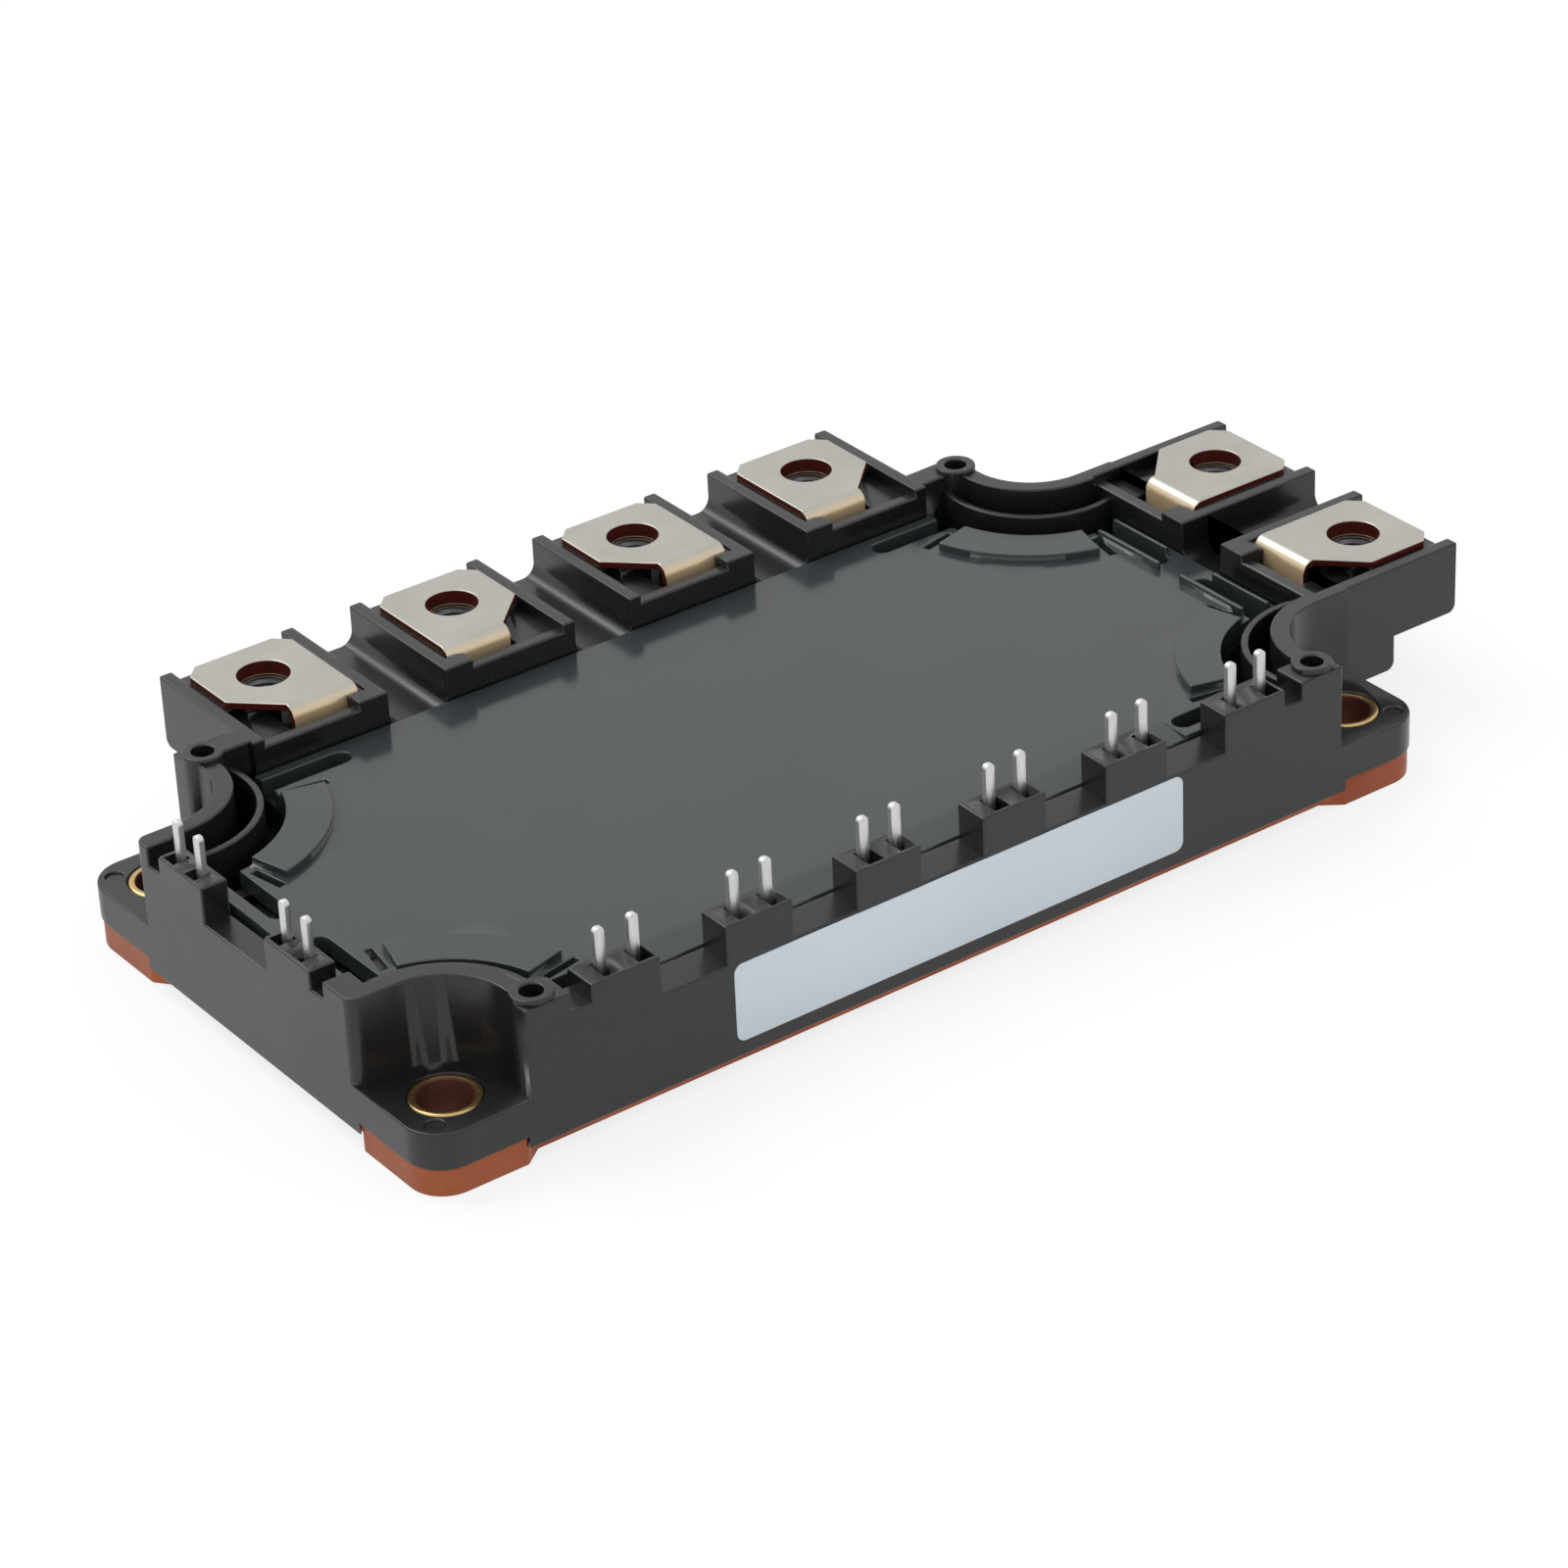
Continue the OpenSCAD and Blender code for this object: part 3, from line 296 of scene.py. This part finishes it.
for node in collar_nodes:
    low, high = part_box(node)
    place(moved_copy(collar, node + "_turned", (low + high) / 2 - middle), "collar_brass", node)
bpy.data.objects.remove(collar)

# Seal
# A bead of pale silicone that glues the frame to the plate and keeps the gel in. It is pressed
# flat between them, so its own solid stays. Cured, it is off-white and satin, a little lumpy.
silicone_seal, tree, shader = finish_of("cured silicone sealant", IOR=1.41)
spot = add(tree, "ShaderNodeTexCoord").outputs["Object"]
lumps = add(tree, "ShaderNodeTexNoise", {"Scale": 1 / (2 * mm), "Detail": 3.0}, {"Vector": spot})
colour = add(tree, "ShaderNodeMix", {"data_type": "RGBA", 6: linear("#dedbd2"), 7: linear("#c6c2b8")},
             {0: lumps.outputs["Fac"]})
gloss = add(tree, "ShaderNodeMapRange", {"To Min": 0.35, "To Max": 0.55}, {"Value": lumps.outputs["Fac"]})
tree.links.new(colour.outputs[2], shader.inputs["Base Color"])
tree.links.new(gloss.outputs["Result"], shader.inputs["Roughness"])


def dress(node, material):
    """Gives a node's own solid a better material in each of its slots."""
    for own_slot in cad[node].material_slots:
        own_slot.material = material


dress("frame_seal", silicone_seal)

# Inner stack
# Three ceramic substrates soldered to the plate, copper on both faces, with the chips soldered on
# and joined by aluminium wires. It lies sealed under the gel and the lid, as its own solids.

# Reflowed solder: dull silver grey, with a crust that is rougher in places
reflowed_solder, tree, shader = finish_of("reflowed tin solder", Metallic=1.0)
spot = add(tree, "ShaderNodeTexCoord").outputs["Object"]
crust = add(tree, "ShaderNodeTexNoise", {"Scale": 1 / (0.8 * mm), "Detail": 4.0}, {"Vector": spot})
colour = add(tree, "ShaderNodeMix", {"data_type": "RGBA", 6: linear("#a9a9ad"), 7: linear("#8b8b90")},
             {0: crust.outputs["Fac"]})
gloss = add(tree, "ShaderNodeMapRange", {"To Min": 0.35, "To Max": 0.6}, {"Value": crust.outputs["Fac"]})
tree.links.new(colour.outputs[2], shader.inputs["Base Color"])
tree.links.new(gloss.outputs["Result"], shader.inputs["Roughness"])

# Bonded copper, etched: paler and more matte than the plate, with a fine grain from the etching
etched_copper, tree, shader = finish_of("etched bonded copper", Metallic=1.0, Roughness=0.42)
spot = add(tree, "ShaderNodeTexCoord").outputs["Object"]
grain = add(tree, "ShaderNodeTexNoise", {"Scale": 1 / (0.3 * mm), "Detail": 3.0}, {"Vector": spot})
colour = add(tree, "ShaderNodeMix", {"data_type": "RGBA", 6: linear("#c98a66"), 7: linear("#b57450")},
             {0: grain.outputs["Fac"]})
relief = add(tree, "ShaderNodeBump", {"Strength": 0.5, "Distance": 0.01 * mm},
             {"Height": grain.outputs["Fac"]})
tree.links.new(colour.outputs[2], shader.inputs["Base Color"])
tree.links.new(relief.outputs["Normal"], shader.inputs["Normal"])

# Alumina, fired: ivory white and matte, with a very fine grain
fired_alumina, tree, shader = finish_of("fired alumina", IOR=1.76, Roughness=0.55)
spot = add(tree, "ShaderNodeTexCoord").outputs["Object"]
grain = add(tree, "ShaderNodeTexNoise", {"Scale": 1 / (0.2 * mm), "Detail": 2.0}, {"Vector": spot})
colour = add(tree, "ShaderNodeMix", {"data_type": "RGBA", 6: linear("#efece4"), 7: linear("#e2ded4")},
             {0: grain.outputs["Fac"]})
tree.links.new(colour.outputs[2], shader.inputs["Base Color"])

# Silicon with an aluminium face: bright grey, parted into cells along X by thin dark lines. The
# wave texture runs through one cell in a tenth of pi divided by its scale.
cell_w = 4.34 * mm
metallised_silicon, tree, shader = finish_of("metallised silicon", Metallic=0.8)
spot = add(tree, "ShaderNodeTexCoord").outputs["Object"]
cells = add(tree, "ShaderNodeTexWave",
            {"bands_direction": "Y", "Scale": pi / 10 / cell_w, "Distortion": 0.0}, {"Vector": spot})
bars = add(tree, "ShaderNodeMapRange", {"From Min": 0.0, "From Max": 0.12}, {"Value": cells.outputs["Fac"]})
colour = add(tree, "ShaderNodeMix", {"data_type": "RGBA", 6: linear("#5a5f6c"), 7: linear("#a4a7ae")},
             {0: bars.outputs["Result"]})
gloss = add(tree, "ShaderNodeMapRange", {"To Min": 0.15, "To Max": 0.35}, {"Value": bars.outputs["Result"]})
tree.links.new(colour.outputs[2], shader.inputs["Base Color"])
tree.links.new(gloss.outputs["Result"], shader.inputs["Roughness"])

# Thermistor: fired oxide, dark grey and matte, with a very fine grain
fired_oxide, tree, shader = finish_of("fired oxide", IOR=1.6, Roughness=0.6)
spot = add(tree, "ShaderNodeTexCoord").outputs["Object"]
grain = add(tree, "ShaderNodeTexNoise", {"Scale": 1 / (0.2 * mm), "Detail": 2.0}, {"Vector": spot})
colour = add(tree, "ShaderNodeMix", {"data_type": "RGBA", 6: linear("#2c2c2f"), 7: linear("#44444a")},
             {0: grain.outputs["Fac"]})
tree.links.new(colour.outputs[2], shader.inputs["Base Color"])

# Drawn aluminium wire: bright silver, with a finely uneven gloss from the die
drawn_aluminium, tree, shader = finish_of("drawn aluminium", Metallic=1.0)
spot = add(tree, "ShaderNodeTexCoord").outputs["Object"]
die_marks = add(tree, "ShaderNodeTexNoise", {"Scale": 1 / (0.15 * mm), "Detail": 2.0}, {"Vector": spot})
colour = add(tree, "ShaderNodeMix", {"data_type": "RGBA", 6: linear("#d6d6d9"), 7: linear("#bdbdc2")},
             {0: die_marks.outputs["Fac"]})
gloss = add(tree, "ShaderNodeMapRange", {"To Min": 0.2, "To Max": 0.4}, {"Value": die_marks.outputs["Fac"]})
tree.links.new(colour.outputs[2], shader.inputs["Base Color"])
tree.links.new(gloss.outputs["Result"], shader.inputs["Roughness"])

# Silicone gel: clear and soft, with a faint blue cast, level on top where it was poured
clear_gel, tree, shader = finish_of("clear silicone gel", IOR=1.41, Transmission_Weight=0.9)
spot = add(tree, "ShaderNodeTexCoord").outputs["Object"]
haze = add(tree, "ShaderNodeTexNoise", {"Scale": 1 / (8 * mm), "Detail": 2.0}, {"Vector": spot})
colour = add(tree, "ShaderNodeMix", {"data_type": "RGBA", 6: linear("#dfe8ec"), 7: linear("#cfdbe0")},
             {0: haze.outputs["Fac"]})
gloss = add(tree, "ShaderNodeMapRange", {"To Min": 0.05, "To Max": 0.12}, {"Value": haze.outputs["Fac"]})
tree.links.new(colour.outputs[2], shader.inputs["Base Color"])
tree.links.new(gloss.outputs["Result"], shader.inputs["Roughness"])

for node in cad:
    if node.startswith(("copper_back", "copper_face")):
        dress(node, etched_copper)
    elif node.startswith("ceramic"):
        dress(node, fired_alumina)
    elif node.startswith(("igbt", "diode")):
        dress(node, metallised_silicon)
dress("substrate_solder", reflowed_solder)
dress("thermistor", fired_oxide)
dress("bond_wires", drawn_aluminium)
dress("silicone_gel", clear_gel)

# Lid
# A plate of the same black plastic that snaps into the frame over the gel, with long slots beside
# its snap arms. It comes from a polished mould, so it mirrors the blocks around it.
lid_edge = 0.15 * mm

# The large top face is parted along these two pairs of lines, which run through its grooves
groove_x = 39.9 * mm
groove_y = 9.9 * mm
cover = moulded_copy("lid", "cover", cuts=[((-groove_x, 0, 0), (1, 0, 0)), ((groove_x, 0, 0), (1, 0, 0)),
                                           ((0, -groove_y, 0), (0, 1, 0)), ((0, groove_y, 0), (0, 1, 0))])
soften(cover, lid_edge)
place(cover, "lid_plastic", "lid")

# The same plastic from a polished mould: smoother, with wide faint waves of gloss. Its colour is painted
# greyer than the frame's, as a painted sheen for the light its top mirrors
polished_polyester, tree, shader = finish_of("polish-moulded polyester", IOR=1.5)
spot = add(tree, "ShaderNodeTexCoord").outputs["Object"]
waves = add(tree, "ShaderNodeTexNoise", {"Scale": 1 / (11 * mm), "Detail": 1.0}, {"Vector": spot})
skin = add(tree, "ShaderNodeTexNoise", {"Scale": 1 / (0.4 * mm), "Detail": 2.0}, {"Vector": spot})
# Painted sheen: a grey base colour, lighter than the frame's, for the light that the lid's top mirrors
colour = add(tree, "ShaderNodeMix", {"data_type": "RGBA", 6: linear("#2e3233"), 7: linear("#33383a")},
             {0: waves.outputs["Fac"]})
gloss = add(tree, "ShaderNodeMapRange", {"From Min": 0.3, "From Max": 0.7, "To Min": 0.15, "To Max": 0.19},
            {"Value": waves.outputs["Fac"]})
relief = add(tree, "ShaderNodeBump", {"Strength": 0.3, "Distance": 0.003 * mm},
             {"Height": skin.outputs["Fac"]})
tree.links.new(colour.outputs[2], shader.inputs["Base Color"])
tree.links.new(gloss.outputs["Result"], shader.inputs["Roughness"])
tree.links.new(relief.outputs["Normal"], shader.inputs["Normal"])
cover.data.materials.append(polished_polyester)

# Terminal nuts
# Six loose zinc-plated hexagon nuts in the pockets under the terminals. Only a glint of each
# shows through the screw hole above it. Each has softened edges and a thread.
nut_flats = 8 * mm
nut_edge = 0.35 * mm
nut_bore = 2.1 * mm
thread_depth = 0.25 * mm
thread_turns = 5
thread_sharp = radians(25)
back_hole_y = 38.2 * mm
side_hole_x = 68.65 * mm
near = 0.01 * mm  # most that two equal heights or places differ by
low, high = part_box("terminal_nuts")
nut_h = high.z - low.z
nut_r = nut_flats / 2 / cos(pi / 6)
nut_middle_z = (low.z + high.z) / 2
thread_growth = (nut_bore + thread_depth) / nut_bore
back_terminals = ("terminal_b", "terminal_u", "terminal_v", "terminal_w")
side_terminals = ("terminal_n", "terminal_p")
terminal_holes = []
for node in back_terminals:
    low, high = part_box(node)
    terminal_holes.append((node, Vector(((low.x + high.x) / 2, back_hole_y, high.z))))
for node in side_terminals:
    low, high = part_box(node)
    terminal_holes.append((node, Vector((side_hole_x, (low.y + high.y) / 2, high.z))))

deselect()
bpy.ops.mesh.primitive_cylinder_add(vertices=6, radius=nut_r, depth=nut_h, location=(0, 0, nut_middle_z))
nut = bpy.context.view_layer.objects.active
bpy.ops.object.transform_apply(location=True, rotation=True, scale=True)
bpy.ops.object.mode_set(mode="EDIT")
choose(nut, edge=lambda e: abs(e.verts[0].co.z - e.verts[1].co.z) < near)
bpy.ops.mesh.bevel(offset=nut_edge, segments=2, clamp_overlap=False, affect="EDGES")
bpy.ops.object.mode_set(mode="OBJECT")

# The tap that cuts the thread: a rod longer than the nut, with one ridge around it for each turn
tap_h = 1.2 * nut_h
deselect()
bpy.ops.mesh.primitive_cylinder_add(vertices=32, radius=nut_bore, depth=tap_h, location=(0, 0, nut_middle_z))
tap = bpy.context.view_layer.objects.active
bpy.ops.object.transform_apply(location=True, rotation=True, scale=True)
bpy.ops.object.mode_set(mode="EDIT")
for turn in range(1, 2 * thread_turns):
    bpy.ops.mesh.select_all(action="SELECT")
    level = nut_middle_z - nut_h / 2 + nut_h * turn / (2 * thread_turns)
    bpy.ops.mesh.bisect(plane_co=(0, 0, level), plane_no=(0, 0, 1))
    if turn % 2:
        bpy.ops.transform.resize(value=(thread_growth, thread_growth, 1), center_override=(0, 0, level))
bpy.ops.object.mode_set(mode="OBJECT")
pick(nut)
tapped = nut.modifiers.new("tapped", "BOOLEAN")
tapped.object = tap
tapped.operation = "DIFFERENCE"
tapped.solver = "EXACT"
bpy.ops.object.modifier_apply(modifier="tapped")
bpy.data.objects.remove(tap)
pick(nut)
bpy.ops.object.shade_smooth_by_angle(angle=thread_sharp)

# Zinc-plated steel: pale grey with a slight blue, bright but not polished
zinc_plate, tree, shader = finish_of("zinc-plated steel", Metallic=1.0)
spot = add(tree, "ShaderNodeTexCoord").outputs["Object"]
spangle = add(tree, "ShaderNodeTexNoise", {"Scale": 1 / (0.6 * mm), "Detail": 3.0}, {"Vector": spot})
colour = add(tree, "ShaderNodeMix", {"data_type": "RGBA", 6: linear("#c9cacc"), 7: linear("#aaacb0")},
             {0: spangle.outputs["Fac"]})
gloss = add(tree, "ShaderNodeMapRange", {"To Min": 0.22, "To Max": 0.4}, {"Value": spangle.outputs["Fac"]})
tree.links.new(colour.outputs[2], shader.inputs["Base Color"])
tree.links.new(gloss.outputs["Result"], shader.inputs["Roughness"])
nut.data.materials.append(zinc_plate)

nuts = []
for node, hole in terminal_holes:
    made = moved_copy(nut, "nut_under_" + node, (hole.x, hole.y, 0))
    if node in side_terminals:
        bpy.ops.object.mode_set(mode="EDIT")
        bpy.ops.mesh.select_all(action="SELECT")
        bpy.ops.transform.rotate(value=pi / 2, orient_axis="Z", center_override=(hole.x, hole.y, 0))
        bpy.ops.object.mode_set(mode="OBJECT")
    nuts.append(made)
bpy.data.objects.remove(nut)
deselect()
for made in nuts:
    made.select_set(True)
bpy.context.view_layer.objects.active = nuts[0]
bpy.ops.object.join()
nut_set = bpy.context.view_layer.objects.active
nut_set.name = "nut_set"
place(nut_set, "nut_steel", "terminal_nuts")

# Screw terminals
# Six plates bent from nickel-plated copper strip. The flat face is grey and satin, the bend is
# painted cream as a painted highlight, and the cut edges and the hole show the red copper.
terminal_edge = 0.12 * mm
hole_r = 2.75 * mm
bend_start_z = 16.95 * mm
bend_end_z = 15.9 * mm

# Nickel plate on copper: a warm grey satin metal with fine rolled grain. Over the bend, from the
# face to 1.1 mm below it, it is painted cream and less like metal: a painted highlight.
nickel_plate, tree, shader = finish_of("nickel-plated copper", Metallic=1.0)
spot = add(tree, "ShaderNodeTexCoord").outputs["Object"]
grain = add(tree, "ShaderNodeTexNoise", {"Scale": 1 / (0.3 * mm), "Detail": 3.0}, {"Vector": spot})
smudge = add(tree, "ShaderNodeTexNoise", {"Scale": 1 / (5 * mm), "Detail": 2.0}, {"Vector": spot})
height = add(tree, "ShaderNodeSeparateXYZ", None, {0: spot})
# Painted highlight: the height band of the bend, where the colour turns cream
bend_painted_highlight = add(tree, "ShaderNodeMapRange", {"From Min": bend_start_z, "From Max": bend_end_z},
           {"Value": height.outputs["Z"]})
face = add(tree, "ShaderNodeMix", {"data_type": "RGBA", 6: linear("#bcbab2"), 7: linear("#a8a69e")},
           {0: smudge.outputs["Fac"]})
colour = add(tree, "ShaderNodeMix", {"data_type": "RGBA", 7: linear("#e8cda2")},
             {0: bend_painted_highlight.outputs["Result"], 6: face.outputs[2]})
gloss = add(tree, "ShaderNodeMapRange", {"To Min": 0.24, "To Max": 0.36}, {"Value": grain.outputs["Fac"]})
relief = add(tree, "ShaderNodeBump", {"Strength": 0.4, "Distance": 0.004 * mm},
             {"Height": grain.outputs["Fac"]})
# Painted highlight: less metallic over the bend, so that its painted cream shows instead of the mirrored
# dark wall
painted_highlight_metallic = add(tree, "ShaderNodeMapRange", {"To Min": 1.0, "To Max": 0.5}, {"Value": bend_painted_highlight.outputs["Result"]})
tree.links.new(colour.outputs[2], shader.inputs["Base Color"])
tree.links.new(gloss.outputs["Result"], shader.inputs["Roughness"])
tree.links.new(painted_highlight_metallic.outputs["Result"], shader.inputs["Metallic"])
tree.links.new(relief.outputs["Normal"], shader.inputs["Normal"])

# Punched copper: the cut edges of the strip and the wall of the screw hole, dark red with upright
# tearing marks
punched_copper, tree, shader = finish_of("punched copper", Metallic=0.6, Roughness=0.45)
spot = add(tree, "ShaderNodeTexCoord").outputs["Object"]
upright = add(tree, "ShaderNodeMapping", {"Scale": (1, 1, 0.2)}, {"Vector": spot})
tears = add(tree, "ShaderNodeTexNoise", {"Scale": 1 / (0.3 * mm), "Detail": 2.0},
            {"Vector": upright.outputs["Vector"]})
colour = add(tree, "ShaderNodeMix", {"data_type": "RGBA", 6: linear("#6a2418"), 7: linear("#4a1512")},
             {0: tears.outputs["Fac"]})
tree.links.new(colour.outputs[2], shader.inputs["Base Color"])

upright_face = 0.3  # most that the normal of a cut face leans up or down
for node, hole in terminal_holes:
    strip = moulded_copy(node, node + "_strip")
    soften(strip, terminal_edge)
    strip.data.materials.append(nickel_plate)
    strip.data.materials.append(punched_copper)
    outwards = Vector((1, 0, 0)) if node in side_terminals else Vector((0, 1, 0))
    for face in strip.data.polygons:
        on_leg = abs(face.normal.dot(outwards)) > aligned and (face.center - hole).dot(outwards) < -hole_r
        if abs(face.normal.z) < upright_face and not on_leg:
            face.material_index = 1
    place(strip, "terminal_nickel", node)

# Contact pins
# Sixteen flat pins of tinned brass, stamped from strip and moulded into the frame, each with a foot
# inside. The tip is rounded so that it finds its hole in the control board.
pin_w = 1.15 * mm
pin_tip = 0.5 * mm
pin_edge = 0.08 * mm

# Tinned brass: pale grey, nearly white, dull, with slight streaks along the pin
tinned_brass, tree, shader = finish_of("tinned brass", Metallic=1.0)
spot = add(tree, "ShaderNodeTexCoord").outputs["Object"]
upright = add(tree, "ShaderNodeMapping", {"Scale": (1, 1, 0.15)}, {"Vector": spot})
streaks = add(tree, "ShaderNodeTexNoise", {"Scale": 1 / (0.25 * mm), "Detail": 2.0},
              {"Vector": upright.outputs["Vector"]})
colour = add(tree, "ShaderNodeMix", {"data_type": "RGBA", 6: linear("#dcdcda"), 7: linear("#c4c4c2")},
             {0: streaks.outputs["Fac"]})
gloss = add(tree, "ShaderNodeMapRange", {"To Min": 0.34, "To Max": 0.5}, {"Value": streaks.outputs["Fac"]})
tree.links.new(colour.outputs[2], shader.inputs["Base Color"])
tree.links.new(gloss.outputs["Result"], shader.inputs["Roughness"])

left_pins = ("pin_thermistor_a", "pin_thermistor_b", "pin_gate_brake", "pin_emitter_brake")
for first in ("pin_gate_up", "pin_thermistor_a"):
    low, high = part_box(first)
    front = first == "pin_gate_up"
    middle = (low + high) / 2
    if front:
        size = Vector((pin_w, pin_t, high.z - low.z))
        middle.y = low.y + pin_t / 2
    else:
        size = Vector((pin_t, pin_w, high.z - low.z))
        middle.x = low.x + pin_t / 2
    deselect()
    bpy.ops.mesh.primitive_cube_add(size=1, location=middle, scale=size)
    pin = bpy.context.view_layer.objects.active
    bpy.ops.object.transform_apply(location=True, rotation=True, scale=True)
    bpy.ops.object.mode_set(mode="EDIT")
    bpy.ops.mesh.select_all(action="SELECT")
    bpy.ops.mesh.bisect(plane_co=(0, 0, low.z + pin_t), plane_no=(0, 0, 1))
    inward = Vector((0, 1, 0)) if front else Vector((1, 0, 0))
    choose(pin, face=lambda f: f.normal.dot(inward) > aligned
           and f.calc_center_median().z < low.z + pin_t)
    reach = (high - low).dot(inward) - size.dot(inward)
    bpy.ops.mesh.extrude_region_move(TRANSFORM_OT_translate={"value": inward * reach})
    across = Vector((1, 0, 0)) if front else Vector((0, 1, 0))
    choose(pin, edge=lambda e: min(v.co.z for v in e.verts) > high.z - near
           and abs((e.verts[0].co - e.verts[1].co).dot(across)) < near)
    bpy.ops.mesh.bevel(offset=pin_tip, segments=6, clamp_overlap=False, affect="EDGES")
    choose(pin, edge=outward)
    bpy.ops.mesh.bevel(offset=pin_edge, segments=2, clamp_overlap=False, affect="EDGES")
    bpy.ops.object.mode_set(mode="OBJECT")
    bpy.ops.object.shade_smooth_by_angle(angle=sharp)
    pin.data.materials.append(tinned_brass)
    for node in cad:
        if node.startswith("pin_") and (node in left_pins) != front:
            place(moved_copy(pin, node + "_stamped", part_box(node)[0] - low), "pin_tin", node)
    bpy.data.objects.remove(pin)

# Label
# A blank sticker of coated film on the front wall. It is die cut with round corners, pale blue
# white, and has a soft sheen.
label_corner = 1.0 * mm
label_edge = 0.04 * mm
low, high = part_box("label")
middle = (low + high) / 2
deselect()
bpy.ops.mesh.primitive_cube_add(size=1, location=middle, scale=high - low)
sticker = bpy.context.view_layer.objects.active
sticker.name = "sticker"
bpy.ops.object.transform_apply(location=True, rotation=True, scale=True)
bpy.ops.object.mode_set(mode="EDIT")
choose(sticker, edge=lambda e: abs(e.verts[0].co.y - e.verts[1].co.y) > near)
bpy.ops.mesh.bevel(offset=label_corner, segments=10, clamp_overlap=False, affect="EDGES")
choose(sticker, edge=lambda e: outward(e) and max(v.co.y for v in e.verts) < low.y + near)
bpy.ops.mesh.bevel(offset=label_edge, segments=2, clamp_overlap=False, affect="EDGES")
bpy.ops.object.mode_set(mode="OBJECT")
bpy.ops.object.shade_smooth_by_angle(angle=sharp)
place(sticker, "label", "label")

# Coated polyester film: pale blue white and satin, with a faint mottle from the coating
coated_film, tree, shader = finish_of("coated polyester film", IOR=1.5)
spot = add(tree, "ShaderNodeTexCoord").outputs["Object"]
mottle = add(tree, "ShaderNodeTexNoise", {"Scale": 1 / (0.7 * mm), "Detail": 3.0}, {"Vector": spot})
drift = add(tree, "ShaderNodeTexNoise", {"Scale": 1 / (20 * mm), "Detail": 1.0}, {"Vector": spot})
colour = add(tree, "ShaderNodeMix", {"data_type": "RGBA", 6: linear("#c8d1d8"), 7: linear("#bdc7cf")},
             {0: drift.outputs["Fac"]})
gloss = add(tree, "ShaderNodeMapRange", {"To Min": 0.38, "To Max": 0.5}, {"Value": mottle.outputs["Fac"]})
relief = add(tree, "ShaderNodeBump", {"Strength": 0.2, "Distance": 0.004 * mm},
             {"Height": mottle.outputs["Fac"]})
tree.links.new(colour.outputs[2], shader.inputs["Base Color"])
tree.links.new(gloss.outputs["Result"], shader.inputs["Roughness"])
tree.links.new(relief.outputs["Normal"], shader.inputs["Normal"])
sticker.data.materials.append(coated_film)

# Camera
# It stands 0.54 m from the module, in front and to the left, 30 degrees up, with a long lens
# turned a little, as the photograph was taken.
camera_data = bpy.data.cameras.new("camera")
camera_data.lens = 123.714
camera_data.sensor_width = 36
camera = bpy.data.objects.new("camera", camera_data)
camera.location = (-0.26785844, -0.38122436, 0.27914720)
camera.rotation_euler = Euler((radians(59.75917814), radians(2.29552189), radians(-36.67124696)))
bpy.context.scene.collection.objects.link(camera)
bpy.context.scene.camera = camera

# Floor and light
# A white table and a white room around it, with one large soft lamp behind and to the left. The
# table shows white, and still takes the module's shadow.
table_size = 3.0
table_glow = 0.8  # share of plain white in what the eye sees of the table
room_light = 0.95
lamp_place = Vector((-0.3, 0.75, 1.1))
lamp_size = 0.9
lamp_power = 8
deselect()
bpy.ops.mesh.primitive_plane_add(size=table_size, location=(0, 0, 0))
table = bpy.context.view_layer.objects.active
table.name = "table"


def plain_sight(tree):
    """One for what is seen straight, in a mirror or through a clear piece, and else nought."""
    seen = add(tree, "ShaderNodeLightPath")
    straight = add(tree, "ShaderNodeMath", {"operation": "MAXIMUM"},
                   {0: seen.outputs["Is Camera Ray"], 1: seen.outputs["Is Glossy Ray"]})
    either = add(tree, "ShaderNodeMath", {"operation": "MAXIMUM"},
                 {0: straight.outputs["Value"], 1: seen.outputs["Is Transmission Ray"]})
    return either.outputs["Value"]


# White laminate: plain and matte, and to the eye a white page with a soft shadow on it
white_table, tree, shader = finish_of("white table", Base_Color=linear("#f4f4f4"), Roughness=0.9)
share = add(tree, "ShaderNodeMath", {"operation": "MULTIPLY", 1: table_glow}, {0: plain_sight(tree)})
glow = add(tree, "ShaderNodeEmission", {"Color": (1, 1, 1, 1), "Strength": 1.0})
both = add(tree, "ShaderNodeMixShader", None,
           {0: share.outputs["Value"], 1: shader.outputs["BSDF"], 2: glow.outputs["Emission"]})
tree.links.new(both.outputs["Shader"], tree.nodes["Material Output"].inputs["Surface"])
table.data.materials.append(white_table)

room = bpy.data.worlds.new("white room")
room.use_nodes = True
tree = room.node_tree
backdrop = tree.nodes["Background"]
backdrop.inputs["Color"].default_value = (1, 1, 1, 1)
backdrop.inputs["Strength"].default_value = room_light
white = add(tree, "ShaderNodeBackground", {"Color": (1, 1, 1, 1), "Strength": 1.0})
both = add(tree, "ShaderNodeMixShader", None,
           {0: plain_sight(tree), 1: backdrop.outputs["Background"], 2: white.outputs["Background"]})
tree.links.new(both.outputs["Shader"], tree.nodes["World Output"].inputs["Surface"])
bpy.context.scene.world = room

lamp_data = bpy.data.lights.new("soft lamp", "AREA")
lamp_data.shape = "SQUARE"
lamp_data.size = lamp_size
lamp_data.energy = lamp_power
lamp = bpy.data.objects.new("soft lamp", lamp_data)
lamp.location = lamp_place
lamp.rotation_euler = (-lamp_place).to_track_quat("-Z", "Y").to_euler()
bpy.context.scene.collection.objects.link(lamp)

bpy.context.scene.view_settings.view_transform = "Standard"
